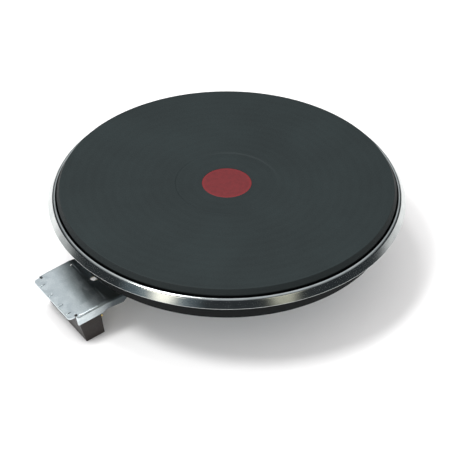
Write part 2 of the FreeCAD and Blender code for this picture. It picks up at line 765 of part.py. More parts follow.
def build_bracket():
    sheet_shift = bracket_sheet * tangent(step_angle / 2)
    bend_shift = bracket_sheet * tangent(panel_slope / 2)
    step_foot = bracket_step + step_run
    total = panel_length + tab_length
    bracket = new_body("terminal_bracket")
    strip = new_sketch(bracket, "bracket_strip", "XZ_Plane")
    add_outline(strip, [
        (-bracket_inner, cover_under),
        (-bracket_step, cover_under),
        (-step_foot, panel_top),
        (-bend_offset, panel_top),
        along_panel(total),
        along_panel(total, bracket_sheet),
        (-bend_offset + bend_shift, panel_top - bracket_sheet),
        (-step_foot + sheet_shift, panel_top - bracket_sheet),
        (-bracket_step + sheet_shift, cover_under - bracket_sheet),
        (-bracket_inner, cover_under - bracket_sheet),
    ])
    add_pad(bracket, strip, bracket_width, True)
    flanges = new_sketch(bracket, "bracket_flanges", "XZ_Plane")
    deep = flange_depth + flange_extra
    ramp_end = flange_run + flange_ramp
    reach = panel_length - ramp_end
    foot = panel_top - flange_depth
    add_outline(flanges, [
        (-flange_end, panel_top),
        (-bend_offset, panel_top),
        along_panel(panel_length),
        along_panel(panel_length, flange_depth),
        along_panel(panel_length - flange_run, deep),
        along_panel(reach, flange_depth),
        (-flange_end - flange_ramp, foot),
        (-flange_end, foot + flange_ramp),
    ])
    add_pad(bracket, flanges, bracket_width, True)
    between = new_sketch(bracket, "between_flanges", "XZ_Plane")
    low = deep + bracket_sheet
    add_outline(between, [
        (-flange_end + CLEAR, panel_top - bracket_sheet),
        (-bend_offset + bend_shift, panel_top - bracket_sheet),
        along_panel(total + CLEAR, bracket_sheet),
        along_panel(total + CLEAR, low),
        (-flange_end + CLEAR, panel_top - low),
    ])
    add_pocket(bracket, between, bracket_width - bracket_sheet * 2, True)
    plan = new_sketch(bracket, "bracket_cuts", "XY_Plane", panel_top - deep - step_drop)
    half, tab_half = bracket_width / 2, tab_width / 2
    end_x = along_panel(panel_length)[0]
    tab_end = along_panel(total)[0]
    far_x = tab_end - CLEAR
    for side in (-1, 1):
        inner = (tab_half - notch_width + (bracket_width - tab_width) / 2) * side
        add_outline(plan, [
            (far_x, (half + CLEAR) * side),
            (end_x, (half + CLEAR) * side),
            (end_x, half * side - bracket_sheet * side),
            (end_x + notch_length, half * side - bracket_sheet * side),
            (end_x + notch_length, inner),
            (end_x, inner),
            (end_x, tab_half * side),
            (tab_end + tab_corner, tab_half * side),
            (tab_end, (tab_half - tab_corner) * side),
            (far_x, (tab_half - tab_corner) * side),
        ])
    add_circle(plan, -hole_offset, 0, hole_radius)
    for x, y in rivet_places():
        add_circle(plan, x, y, rivet_radius + thread_gap)
    near, far = -through_offset + window_length / 2, -through_offset - window_length / 2
    add_outline(plan, box_corners(far, -window_width / 2, near, window_width / 2))
    add_pocket(bracket, plan)
    return bracket


def build_rivets():
    """Three rivets that hold the bracket to the cover, as one group of separate solids."""
    low = cover_under - bracket_sheet
    foot = low - rivet_head_height
    length = bracket_sheet + cover_sheet
    items = []
    for index, (x, y) in enumerate(rivet_places()):
        items.append(fused(f"rivet_{index + 1}", [
            cylinder(f"rivet_{index + 1}_shank", rivet_radius, length, x, y, low),
            cylinder(f"rivet_{index + 1}_foot", rivet_head, rivet_head_height, x, y, foot),
            cylinder(f"rivet_{index + 1}_head", rivet_head, rivet_head_height, x, y, cover_top),
        ]))
    group = doc.addObject("Part::Compound", "bracket_rivets")
    group.Label = "bracket_rivets"
    group.Links = items
    return group


def build_earth_tab():
    under = panel_top - bracket_sheet
    x = -earth_offset
    tab = sawn("earth_tab", "XZ_Plane", [
        (x, under),
        (x + earth_foot, under),
        (x + earth_foot, under - earth_sheet),
        (x + earth_sheet, under - earth_sheet),
        (x + earth_sheet, under - earth_length),
        (x, under - earth_length),
    ], earth_width)
    return place(tab, 0, bracket_width / 2 - earth_edge, 0)


# --- terminal block --------------------------------------------------------------------
def build_block():
    block = sawn("terminal_block", "XZ_Plane", [
        (block_out - block_rake, -bracket_sheet),
        (block_in, -bracket_sheet),
        (block_in, block_under),
        (block_out, block_under),
    ], block_width)
    chambers = new_sketch(block, "terminal_chambers", "YZ_Plane", block_in)
    half = (pole_pitch - barrier_width) / 2
    for side in pole_sides:
        add_outline(chambers, box_corners(side - half, block_under - CLEAR, side + half, core_under))
    add_pocket(block, chambers, block_length - front_wall)
    wells = new_sketch(block, "screw_wells", "XY_Plane", core_under)
    for side in pole_sides:
        add_circle(wells, screw_x, side, screw_radius + well_gap)
    add_pocket(block, wells, screw_reach + well_gap)
    return on_panel(block, 0, 0)


def build_pole(index, side):
    bar = sawn(f"contact_bar_{index}", "XZ_Plane", box_corners(
        block_out + bar_inset, core_under, block_in + bar_tail, bar_under), bar_width)
    hole = new_sketch(bar, f"bar_hole_{index}", "XY_Plane")
    add_pocket(bar, add_circle(hole, screw_x, 0, screw_radius + screw_gap), core_height * FAR, True)
    on_panel(bar, 0, side)
    face = bar_under - clamp_gap
    half = washer_length / 2
    washer = sawn(f"clamp_washer_{index}", "XZ_Plane", box_corners(
        screw_x - half, face, screw_x + half, face - washer_thickness), washer_width)
    bore = new_sketch(washer, f"washer_hole_{index}", "XY_Plane")
    add_pocket(washer, add_circle(bore, screw_x, 0, screw_radius + screw_gap), core_height * FAR, True)
    on_panel(washer, 0, side)
    head_top = -clamp_gap * 2 - washer_thickness
    screw = turned(f"terminal_screw_{index}", [
        (0, head_top - screw_head_height),
        (screw_head - slot_depth / 2, head_top - screw_head_height),
        (screw_head, head_top - screw_head_height + slot_depth / 2),
        (screw_head, head_top),
        (screw_radius, head_top),
        (screw_radius, bar_thickness + screw_reach),
        (0, bar_thickness + screw_reach),
    ])
    slot = add_outline(new_sketch(screw, f"screw_slot_{index}", "XZ_Plane"), box_corners(
        -slot_width / 2, head_top - screw_head_height - CLEAR,
        slot_width / 2, head_top - screw_head_height + slot_depth))
    add_pocket(screw, slot, screw_head * FAR, True)
    on_panel(screw, screw_x, side, bar_under)
    return [bar, washer, screw]


# --- leads and their ceramics ------------------------------------------------------------
tag_x = protector_near + protector_depth / 2
tag_y = protector_width / 2
strip_depth = protector_top + chamber_top + strip_thickness
anchor_depth = protector_top + chamber_top + arm_drop + arm_thickness
touch = lead_radius + contact_gap


def point(x, y, z):
    return Vector(number(x), number(y), number(z))


def panel_point(x, y, z):
    """A point of the outer panel's own frame, in the plate's frame."""
    return point(-bend_offset + x * outward - z * downward, y,
                 panel_top + x * downward + z * outward)


def coil_tail(radius, depth):
    """Where a lead stands against the end of the coil on this radius."""
    return point(radius * cosine(coil_start) + touch * sine(coil_start),
                 radius * sine(coil_start) - touch * cosine(coil_start), below_top(depth))


def riser(radius):
    return [coil_tail(radius, coil_depth), coil_tail(radius, lead_layer)]


def outer_run(index):
    """A lead's way down the lead-through and out to its contact bar."""
    side = through_sides[index]
    touch_height = core_under + touch
    return [
        point(-through_offset, side, below_top(lead_layer)),
        point(-through_offset, side, panel_top - bracket_sheet - bead_length),
        panel_point(block_in + bar_tail + bead_radius, pole_sides[index], touch_height),
        panel_point(block_in + block_gap, pole_sides[index], touch_height),
    ]


def build_leads():
    layer = below_top(lead_layer)
    from_tag = [
        point(tag_x, tag_y + lead_radius, below_top(anchor_depth + touch)),
        point(tag_x, tag_y + tag_reach * 2, below_top(anchor_depth + touch)),
        point(boss_radius, tag_y + tag_reach * 2, layer),
        point(-bracket_inner, tag_y + tag_reach, layer),
        point(-bracket_step, through_sides[3], layer),
    ]
    beginnings = [
        riser(groove_radii[5]),
        riser(groove_radii[3]) + [coil_tail(groove_radii[4], lead_layer)],
        riser(groove_radii[1]) + [coil_tail(groove_radii[2], lead_layer),
                                  point(-groove_radii[3], through_sides[2], layer)],
        from_tag,
    ]
    seconds = {1: groove_radii[4], 2: groove_radii[2]}
    made = []
    for index, beginning in enumerate(beginnings):
        wire = round_wire(beginning + outer_run(index), number(lead_radius), number(lead_bend))
        if index in seconds:
            top, foot = riser(seconds[index])
            wire = wire.fuse(Part.makeCylinder(number(lead_radius), (top - foot).Length, foot, Z_AXIS))
        made.append(from_shape(f"lead_{index + 1}", wire))
    link = riser(groove_radii[0]) + [
        point(-hollow_radius / 2, -tag_y, layer),
        point(boss_radius, -tag_y - tag_reach * 2, layer),
        point(tag_x, -tag_y - tag_reach * 2, below_top(strip_depth + touch)),
        point(tag_x, -tag_y - lead_radius, below_top(strip_depth + touch)),
    ]
    made.append(from_shape("protector_link", round_wire(link, number(lead_radius), number(lead_bend))))
    return made


# Beads on a lead's stretch below the lead-through, and on its stretch to the block
UPRIGHT_BEADS = 2
LEVEL_BEADS = 3


def bead_row(start, end, count):
    """Beads side by side in the middle of a straight stretch of lead."""
    along = (end - start).normalize()
    pitch = number(bead_length + bead_space)
    first = (start + end) * 0.5 - along * (pitch * count / 2)
    beads = []
    for step in range(count):
        foot = first + along * (pitch * step)
        length = number(bead_length)
        whole = Part.makeCylinder(number(bead_radius), length, foot, along)
        bore = Part.makeCylinder(number(lead_radius + lead_gap), length, foot, along)
        beads.append(whole.cut(bore))
    return beads


def build_beads(index):
    """The string of insulating beads on one lead, as one group of separate solids."""
    top, low, far = outer_run(index)[:3]
    top.z = number(cover_under - through_reach)
    beads = bead_row(top, low, UPRIGHT_BEADS) + bead_row(low, far, LEVEL_BEADS)
    return from_shape(f"lead_beads_{index + 1}", Part.makeCompound(beads))


def build_lead_through():
    half = through_depth / 2
    wide = through_width / 2
    low = cover_under - through_reach
    body = new_body("lead_through")
    shank = add_outline(new_sketch(body, "through_shank", "XY_Plane", low), box_corners(
        -half, -wide, half, wide))
    add_pad(body, shank, cover_top + through_flange - low)
    flange = add_outline(new_sketch(body, "through_flange", "XY_Plane", cover_top), box_corners(
        -half - through_flange, -wide - through_flange, half + through_flange, wide + through_flange))
    add_pad(body, flange, through_flange)
    holes = new_sketch(body, "through_holes", "XY_Plane", low)
    for side in through_sides:
        add_circle(holes, 0, side, lead_radius + lead_gap)
    add_pocket(body, holes, cover_top + through_flange - low)
    return place(body, -through_offset, 0, 0)


# --- thermal protector -------------------------------------------------------------------
housing_top = below_top(protector_top)
housing_foot = housing_top - protector_height
chamber_roof = housing_top - chamber_top
arm_top = chamber_roof - arm_drop
disc_foot = housing_top - disc_seat


def build_housing():
    half_x, half_y = protector_depth / 2, protector_width / 2
    housing = new_body("protector_housing")
    block = add_outline(new_sketch(housing, "housing_plan", "XY_Plane", housing_foot), box_corners(
        -half_x, -half_y, half_x, half_y))
    add_pad(housing, block, protector_height)
    seat = new_sketch(housing, "disc_pocket", "XY_Plane", housing_top)
    add_pocket(housing, add_circle(seat, 0, disc_side, disc_radius + disc_gap), disc_seat)
    room = half_y - chamber_wall
    chamber = add_outline(new_sketch(housing, "chamber_plan", "XY_Plane", housing_foot), box_corners(
        -chamber_depth / 2, -room, chamber_depth / 2, room))
    add_pocket(housing, chamber, protector_height - chamber_top)
    bore = new_sketch(housing, "push_hole", "XY_Plane", chamber_roof)
    add_pocket(housing, add_circle(bore, 0, disc_side, push_radius + push_gap), chamber_top)
    window = arm_width / 2 + disc_gap
    slots = add_outline(new_sketch(housing, "tag_slots", "XZ_Plane"), box_corners(
        -window, arm_top - arm_thickness - disc_gap, window, chamber_roof))
    add_pocket(housing, slots, protector_width * 2, True)
    return place(housing, tag_x, 0, 0)


def build_protector():
    half_x, half_y = protector_depth / 2, protector_width / 2
    wide = arm_width / 2
    base = new_body("protector_base")
    plan = new_sketch(base, "base_plan", "XY_Plane", housing_foot - base_thickness)
    add_pad(base, add_outline(plan, box_corners(-half_x, -half_y, half_x, half_y)), base_thickness)
    disc = turned("bimetal_disc", [
        (0, disc_foot + disc_rise),
        (disc_radius, disc_foot),
        (disc_radius, disc_foot + disc_thickness),
        (0, disc_foot + disc_rise + disc_thickness),
    ])
    push = turned("push_pin", [
        (0, arm_top + push_clear),
        (push_radius / 2, arm_top + push_clear),
        (push_radius, arm_top + push_clear + push_radius / 2),
        (push_radius, disc_foot + disc_rise / 2),
        (0, disc_foot + disc_rise - push_clear),
    ])
    arm = sawn("contact_arm", "YZ_Plane", box_corners(
        -arm_tip, arm_top - arm_thickness, arm_root, arm_top), arm_width)
    anchor = sawn("arm_anchor", "YZ_Plane", box_corners(
        arm_root + arm_split, arm_top - arm_thickness, half_y + tag_reach, arm_top), arm_width)
    moving = turned("moving_contact", [
        (0, arm_top),
        (contact_radius, arm_top),
        (contact_radius, arm_top + (arm_drop - strip_thickness) / 2),
        (0, arm_top + (arm_drop - strip_thickness) / 2),
    ])
    strip = new_body("fixed_contact")
    side = chamber_roof - strip_thickness
    add_pad(strip, add_outline(new_sketch(strip, "strip_plan", "XY_Plane", side), box_corners(
        -wide, -half_y - tag_reach, wide, -contact_side + contact_radius + disc_gap)), strip_thickness)
    rivet_foot = arm_top + (arm_drop - strip_thickness) / 2 + contact_gap
    add_pad(strip, add_circle(new_sketch(strip, "strip_rivet", "XY_Plane", rivet_foot), 0, -contact_side,
                              contact_radius), side - rivet_foot)
    clip_top = cover_top + clip_gap
    clip_roof = housing_foot - base_thickness
    rise = clip_roof - clip_top
    clip = sawn("protector_clip", "YZ_Plane", [
        (-half_y, clip_top),
        (-half_y + rise, clip_top),
        (-rise / 2, clip_roof - clip_sheet),
        (rise / 2, clip_roof - clip_sheet),
        (half_y - rise, clip_top),
        (half_y, clip_top),
        (half_y, clip_top + clip_sheet),
        (half_y - rise, clip_top + clip_sheet),
        (rise / 2, clip_roof),
        (-rise / 2, clip_roof),
        (-half_y + rise, clip_top + clip_sheet),
        (-half_y, clip_top + clip_sheet),
    ], clip_width)
    for piece in (base, arm, anchor, strip, clip):
        place(piece, tag_x, 0, 0)
    for piece in (disc, push):
        place(piece, tag_x, disc_side, 0)
    place(moving, tag_x, -contact_side, 0)
    return [base, disc, push, arm, anchor, moving, strip, clip]


# --- build, check and write --------------------------------------------------------------
pieces = [build_plate(), build_dot(), build_rim()]
for step, circuit in enumerate(circuits):
    near_far = groove_radii[2 * step:2 * step + 2]
    pieces += build_circuit(circuit, *near_far, turn_radii[step])
pieces += [build_insulation(), build_cover(), build_stud(), build_pin(), build_lead_through()]
pieces += [build_bracket(), build_rivets(), build_earth_tab(), build_block()]
for index, side in enumerate(pole_sides):
    pieces += build_pole(index + 1, side)
    pieces.append(build_beads(index))
pieces += build_leads()
pieces.append(build_housing())
pieces += build_protector()
doc.recompute()

for item in doc.Objects:
    if "Invalid" in item.State or "Error" in item.State:
        raise RuntimeError(f"{item.Name}: {item.State}")
for piece in pieces:
    if piece.Shape.isNull() or not piece.Shape.isValid() or not piece.Shape.Solids:
        raise RuntimeError(f"{piece.Label} has no valid shape")

os.makedirs("parts", exist_ok=True)
for piece in pieces:
    piece.Shape.exportStep(f"parts/{piece.Label}.step")
    print(piece.Label, len(piece.Shape.Solids), round(piece.Shape.Volume, 1))
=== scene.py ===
"""Looks of a sealed cast-iron hot plate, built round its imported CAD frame, in metres."""

import json
import math

import bmesh
import bpy
from mathutils import Matrix, Vector, geometry


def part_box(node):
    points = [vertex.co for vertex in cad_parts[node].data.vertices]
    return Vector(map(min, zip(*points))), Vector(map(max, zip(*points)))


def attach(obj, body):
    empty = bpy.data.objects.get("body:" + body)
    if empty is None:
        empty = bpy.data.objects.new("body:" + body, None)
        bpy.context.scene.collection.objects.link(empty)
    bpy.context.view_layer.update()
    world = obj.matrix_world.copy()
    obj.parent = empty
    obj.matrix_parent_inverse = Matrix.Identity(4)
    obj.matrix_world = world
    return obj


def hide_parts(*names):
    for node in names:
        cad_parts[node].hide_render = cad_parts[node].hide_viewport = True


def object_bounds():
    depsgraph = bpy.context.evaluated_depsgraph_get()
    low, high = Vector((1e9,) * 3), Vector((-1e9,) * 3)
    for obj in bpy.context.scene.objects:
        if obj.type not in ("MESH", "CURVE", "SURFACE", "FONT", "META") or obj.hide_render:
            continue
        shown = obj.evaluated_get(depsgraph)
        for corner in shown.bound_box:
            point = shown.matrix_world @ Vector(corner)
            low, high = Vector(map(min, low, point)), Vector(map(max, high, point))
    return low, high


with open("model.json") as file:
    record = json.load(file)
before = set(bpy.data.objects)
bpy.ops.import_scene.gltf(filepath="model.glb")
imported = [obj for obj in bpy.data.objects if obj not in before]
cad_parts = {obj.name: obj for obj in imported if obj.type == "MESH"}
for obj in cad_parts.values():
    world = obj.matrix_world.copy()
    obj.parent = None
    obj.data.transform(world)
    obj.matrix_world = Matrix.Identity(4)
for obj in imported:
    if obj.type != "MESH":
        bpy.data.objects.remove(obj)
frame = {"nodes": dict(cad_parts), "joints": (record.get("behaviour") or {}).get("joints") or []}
cad_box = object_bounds()

MM = 0.001


# --- colour and nodes --------------------------------------------------------------------
def rgb(code, alpha=1.0):
    """An sRGB hex colour as the linear colour that the shaders work in."""
    channels = [int(code[i:i + 2], 16) / 255 for i in (1, 3, 5)]
    linear = [c / 12.92 if c <= 0.04045 else ((c + 0.055) / 1.055) ** 2.4 for c in channels]
    return (*linear, alpha)


def add(tree, kind, inputs=None, **settings):
    """A node with its settings; each input is a plain value or the socket that feeds it."""
    node = tree.nodes.new("ShaderNode" + kind)
    for name, value in settings.items():
        setattr(node, name, value)
    for name, value in (inputs or {}).items():
        if isinstance(value, bpy.types.NodeSocket):
            tree.links.new(value, node.inputs[name])
        else:
            node.inputs[name].default_value = value
    return node.outputs


# Numbers of the Mix node's sockets for colours and vectors, which share their names
MIX, FROM, TO, MIXED = 0, 6, 7, 2
FROM_VECTOR, TO_VECTOR, MIXED_VECTOR = 4, 5, 1


def start(name, **values):
    """A new material: its tree, its shader with plain values, and the piece's own coordinates."""
    material = bpy.data.materials.new(name)
    material.use_nodes = True
    tree = material.node_tree
    shader = tree.nodes["Principled BSDF"]
    for socket, value in values.items():
        shader.inputs[socket.replace("_", " ")].default_value = value
    place = add(tree, "TexCoord")["Object"]
    return material, tree, shader, place


def speckle(tree, place, size, detail=2.0, roughness=0.5, stretch=None):
    """Noise whose blots are about this many millimetres across."""
    if stretch:
        place = add(tree, "Mapping", {"Vector": place, "Scale": stretch})["Vector"]
    values = {"Vector": place, "Scale": 1 / (size * MM), "Detail": detail, "Roughness": roughness}
    return add(tree, "TexNoise", values)["Fac"]


def span(tree, source, low, high, to_low=0.0, to_high=1.0):
    """Stretch a value from one span to another and keep it inside."""
    values = {"Value": source, "From Min": low, "From Max": high,
              "To Min": to_low, "To Max": to_high}
    return add(tree, "MapRange", values)["Result"]


def blend(tree, share, first, second):
    """A colour between two others, each a colour or a socket."""
    return add(tree, "Mix", {MIX: share, FROM: first, TO: second}, data_type="RGBA")[MIXED]


def arithmetic(tree, operation, *terms):
    return add(tree, "Math", dict(enumerate(terms)), operation=operation)["Value"]


def radius_of(tree, place):
    """Distance from the plate's axis."""
    flat = add(tree, "VectorMath", {0: place, 1: (1, 1, 0)}, operation="MULTIPLY")["Vector"]
    return add(tree, "VectorMath", {0: flat}, operation="LENGTH")["Value"]


def rings(tree, place, pitch):
    """Waves round the plate's axis, this many millimetres apart."""
    turns = arithmetic(tree, "MULTIPLY", radius_of(tree, place), math.tau / (pitch * MM))
    return arithmetic(tree, "SINE", turns)


def bump(tree, shader, height, depth, strength=1.0, under=None):
    """Relief of this depth in millimetres, laid over any relief beneath."""
    values = {"Height": height, "Distance": depth * MM, "Strength": strength}
    if under:
        values["Normal"] = under
    normal = add(tree, "Bump", values)["Normal"]
    tree.links.new(normal, shader.inputs["Normal"])
    return normal


def feed(tree, shader, **sources):
    for socket, source in sources.items():
        tree.links.new(source, shader.inputs[socket.replace("_", " ")])


# --- materials ---------------------------------------------------------------------------
def heat_blacked_cast_iron():
    """Cast iron, face-turned, under a matt heat-resistant black: fine rings from the lathe
    on the top, the sand-cast grain on the skirt, and a grey-green cast. The skirt's black is
    painted much darker than the face's, as painted shade under the rim."""
    material, tree, shader, place = start("heat_blacked_cast_iron", IOR=1.5)
    grain = speckle(tree, place, 0.9, detail=3)
    cloud = speckle(tree, place, 38, detail=3, roughness=0.6)
    distance = radius_of(tree, place)
    height = add(tree, "SeparateXYZ", {0: place})["Z"]
    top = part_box("cast_iron_plate")[1].z
    turned = span(tree, height, top - 0.004, top - 0.003)
    # The feed of the lathe is 0.25 mm; drawn at 1.1 mm so that it shows
    feed_rings = rings(tree, place, 1.1)
    wide_rings = rings(tree, place, 6.3)
    face = blend(tree, span(tree, cloud, 0.3, 0.7), rgb("#182122"), rgb("#1D2728"))
    face = blend(tree, span(tree, wide_rings, -1, 1, 0, 0.11), face, rgb("#263031"))
    # Skirt: the same black coat as the face but painted far darker, as painted shade under the rim
    skirt = blend(tree, span(tree, grain, 0.35, 0.65), rgb("#020506"), rgb("#05090A"))
    bevel = span(tree, distance, 0.1080, 0.1084)
    face = blend(tree, bevel, face, rgb("#121A1B"))
    colour = blend(tree, turned, skirt, face)
    rough = span(tree, grain, 0.3, 0.7, 0.58, 0.7)
    feed(tree, shader, Base_Color=colour, Roughness=rough,
         Specular_IOR_Level=span(tree, turned, 0, 1, 0.12, 0.3))
    cast = bump(tree, shader, grain, 0.05)
    marks = arithmetic(tree, "MULTIPLY", feed_rings, turned)
    bump(tree, shader, marks, 0.004, under=cast)
    return material


def polished_stainless():
    """Stainless steel, pressed and buffed round: near a mirror, with faint buffing lines
    that run round the rim and a slightly uneven skin."""
    material, tree, shader, place = start("polished_stainless", Metallic=1.0)
    # Buffing lines are finer than 0.1 mm; drawn at 0.5 mm so that they show
    lines = speckle(tree, place, 0.5, detail=2, stretch=(1, 1, 6))
    skin = speckle(tree, place, 9, detail=2)
    feed(tree, shader,
         Base_Color=blend(tree, span(tree, skin, 0.35, 0.65), rgb("#B9BEBE"), rgb("#C9CDCC")),
         Roughness=span(tree, lines, 0.3, 0.7, 0.12, 0.15))
    return material


def red_stove_enamel():
    """Heat-resistant red enamel, brushed on and fired: matt, a little mottled, with a
    slightly brighter rim where it thins out."""
    material, tree, shader, place = start("red_stove_enamel", IOR=1.5, Specular_IOR_Level=0.3)
    mottle = speckle(tree, place, 2.4, detail=4)
    grain = speckle(tree, place, 0.6, detail=2)
    edge = span(tree, radius_of(tree, place), 0.0140, 0.0160)
    middle = blend(tree, span(tree, mottle, 0.35, 0.65), rgb("#5E1B1F"), rgb("#681F23"))
    feed(tree, shader,
         Base_Color=blend(tree, edge, middle, rgb("#701E22")),
         Roughness=span(tree, mottle, 0.3, 0.7, 0.5, 0.62))
    bump(tree, shader, grain, 0.03)
    return material


def spangled_zinc():
    """Hot-dip galvanised sheet: bluish zinc with crystal spangles a few millimetres wide,
    fine rolling lines and handling scratches. Painted shade darkens the sheet close under
    the plate, and the cover is darkened by half to cut the light it bounces onto the floor."""
    material, tree, shader, place = start("spangled_zinc", Metallic=1.0)
    warp = speckle(tree, place, 5, detail=2)
    bent = add(tree, "VectorMath", {0: place, 1: warp}, operation="ADD")["Vector"]
    ends = {MIX: 0.002, FROM_VECTOR: place, TO_VECTOR: bent}
    bent = add(tree, "Mix", ends, data_type="VECTOR")[MIXED_VECTOR]
    crystal = add(tree, "TexVoronoi", {"Vector": bent, "Scale": 1 / (3.2 * MM)})["Color"]
    shade = add(tree, "SeparateColor", {0: crystal})["Red"]
    fine = speckle(tree, place, 0.7, detail=3)
    scratch = speckle(tree, place, 0.5, detail=2, stretch=(0.12, 1, 1))
    colour = blend(tree, shade, rgb("#CAD3D6"), rgb("#DAE1E3"))
    colour = blend(tree, span(tree, fine, 0.35, 0.65, 0, 0.5), colour, rgb("#BBC6CA"))
    colour = blend(tree, span(tree, scratch, 0.66, 0.72, 0, 0.5), colour, rgb("#EEF3F4"))
    # Painted shade: the bracket goes towards a dark colour where it runs close under the plate
    painted_shade_under_plate = span(tree, radius_of(tree, place), 0.121, 0.105, 0, 0.9)
    low = span(tree, add(tree, "SeparateXYZ", {0: place})["Z"], 0.002, -0.004)
    # The cover is darkened by half, which cuts the light it bounces onto the floor
    high = span(tree, add(tree, "SeparateXYZ", {0: place})["Z"], 0.0030, 0.0039, 0, 0.5)
    # heat holds the painted shade under the plate and the darkening of the cover, not a heat tint
    heat = arithmetic(tree, "MAXIMUM", arithmetic(tree, "MULTIPLY", painted_shade_under_plate, low), high)
    # Dark colour of the painted shade under the plate and of the dimmed cover
    colour = blend(tree, heat, colour, rgb("#353D40"))
    feed(tree, shader, Base_Color=colour, Roughness=span(tree, shade, 0, 1, 0.30, 0.42))
    worn = bump(tree, shader, fine, 0.02)
    bump(tree, shader, shade, 0.01, under=worn)
    return material


def bright_zinc_plate():
    """Turned or cold-headed steel with bright zinc plate: cool silver, a faint yellow cast
    in places, light tool marks."""
    material, tree, shader, place = start("bright_zinc_plate", Metallic=1.0)
    cast = speckle(tree, place, 3.5, detail=2)
    marks = speckle(tree, place, 0.25, detail=2)
    feed(tree, shader,
         Base_Color=blend(tree, span(tree, cast, 0.4, 0.65), rgb("#B4B7B6"), rgb("#C2BDA9")),
         Roughness=span(tree, marks, 0.3, 0.7, 0.26, 0.4))
    bump(tree, shader, marks, 0.008)
    return material


def drawn_nickel():
    """Drawn nickel wire, dulled by heat: warm grey with lengthwise die lines."""
    material, tree, shader, place = start("drawn_nickel", Metallic=1.0)
    lines = speckle(tree, place, 0.3, detail=2, stretch=(0.2, 1, 1))
    heat = speckle(tree, place, 6, detail=2)
    feed(tree, shader,
         Base_Color=blend(tree, span(tree, heat, 0.35, 0.65), rgb("#B3AC9E"), rgb("#8F8879")),
         Roughness=span(tree, lines, 0.3, 0.7, 0.28, 0.42))
    bump(tree, shader, lines, 0.01)
    return material


def oxidised_heating_wire():
    """Nickel-chromium resistance wire after its first heat: dark, dull oxide."""
    material, tree, shader, place = start("oxidised_heating_wire", Metallic=0.8)
    oxide = speckle(tree, place, 1.2, detail=3)
    feed(tree, shader,
         Base_Color=blend(tree, span(tree, oxide, 0.35, 0.65), rgb("#4B443D"), rgb("#2F3336")),
         Roughness=span(tree, oxide, 0.3, 0.7, 0.5, 0.7))
    bump(tree, shader, oxide, 0.02)
    return material


def pressed_powder():
    """Magnesium oxide powder pressed into the grooves: chalky off-white, pitted."""
    material, tree, shader, place = start("pressed_magnesia", IOR=1.7)
    pits = speckle(tree, place, 0.8, detail=4)
    feed(tree, shader,
         Base_Color=blend(tree, span(tree, pits, 0.35, 0.65), rgb("#CFC8B8"), rgb("#E4DFD2")),
         Roughness=span(tree, pits, 0.3, 0.7, 0.85, 0.95))
    bump(tree, shader, pits, 0.08)
    return material


def fired_steatite():
    """Unglazed steatite, dry-pressed and fired: dense cream ceramic with a fine tooth and
    a few grey iron specks."""
    material, tree, shader, place = start("fired_steatite", IOR=1.58)
    tooth = speckle(tree, place, 0.35, detail=3)
    specks = speckle(tree, place, 0.9, detail=1)
    cream = blend(tree, span(tree, tooth, 0.3, 0.7), rgb("#D9D2BF"), rgb("#E6E1D2"))
    feed(tree, shader,
         Base_Color=blend(tree, span(tree, specks, 0.70, 0.76, 0, 0.6), cream, rgb("#8C8474")),
         Roughness=span(tree, tooth, 0.3, 0.7, 0.5, 0.65))
    bump(tree, shader, tooth, 0.02)
    return material


def ceramic_fibre_board():
    """Vacuum-formed ceramic-fibre board: soft white, laid fibres, a little crumbly."""
    material, tree, shader, place = start("ceramic_fibre_board", IOR=1.5, Sheen_Weight=0.2)
    fibres = speckle(tree, place, 0.8, detail=4, stretch=(0.3, 1, 1))
    clumps = speckle(tree, place, 4, detail=3)
    feed(tree, shader,
         Base_Color=blend(tree, span(tree, fibres, 0.35, 0.65), rgb("#D6D1C4"), rgb("#EBE8DF")),
         Roughness=span(tree, clumps, 0.3, 0.7, 0.9, 0.98))
    bump(tree, shader, clumps, 0.2)
    return material


def moulded_phenolic():
    """Compression-moulded brown phenolic: nearly black brown with a wood-flour fleck, and
    a low sheen where the tool was polished."""
    material, tree, shader, place = start("moulded_phenolic", IOR=1.6, Specular_IOR_Level=0.3)
    fleck = speckle(tree, place, 0.7, detail=3)
    flow = speckle(tree, place, 7, detail=3)
    brown = blend(tree, span(tree, flow, 0.35, 0.65), rgb("#110906"), rgb("#170D08"))
    feed(tree, shader,
         Base_Color=blend(tree, span(tree, fleck, 0.58, 0.7, 0, 0.5), brown, rgb("#3A2C23")),
         Roughness=span(tree, flow, 0.3, 0.7, 0.36, 0.5))
    bump(tree, shader, fleck, 0.015)
    return material


def tinned_brass():
    """Stamped brass strip with a thin worn tin wash: pale yellow with silvery patches."""
    material, tree, shader, place = start("tinned_brass", Metallic=1.0)
    wash = speckle(tree, place, 2.5, detail=3)
    lines = speckle(tree, place, 0.3, detail=2, stretch=(0.15, 1, 1))
    feed(tree, shader,
         Base_Color=blend(tree, span(tree, wash, 0.4, 0.6), rgb("#C9AE6B"), rgb("#C6BC9A")),
         Roughness=span(tree, lines, 0.3, 0.7, 0.24, 0.38))
    bump(tree, shader, lines, 0.008)
    return material


def tempered_spring_strip():
    """Cold-rolled, tempered strip: straw-brown temper colour over grey steel."""
    material, tree, shader, place = start("tempered_spring_strip", Metallic=1.0)
    temper = speckle(tree, place, 5, detail=2)
    lines = speckle(tree, place, 0.3, detail=2, stretch=(1, 0.15, 1))
    feed(tree, shader,
         Base_Color=blend(tree, span(tree, temper, 0.35, 0.65), rgb("#A59C8C"), rgb("#8D8069")),
         Roughness=span(tree, lines, 0.3, 0.7, 0.25, 0.4))
    bump(tree, shader, lines, 0.006)
    return material


def rolled_bimetal():
    """Two rolled alloys bonded face to face: coppery grey with rolling lines."""
    material, tree, shader, place = start("rolled_bimetal", Metallic=1.0)
    lines = speckle(tree, place, 0.4, detail=2, stretch=(1, 0.1, 1))
    feed(tree, shader,
         Base_Color=blend(tree, span(tree, lines, 0.35, 0.65), rgb("#A08F7E"), rgb("#B3A08C")),
         Roughness=span(tree, lines, 0.3, 0.7, 0.25, 0.36))
    bump(tree, shader, lines, 0.006)
    return material


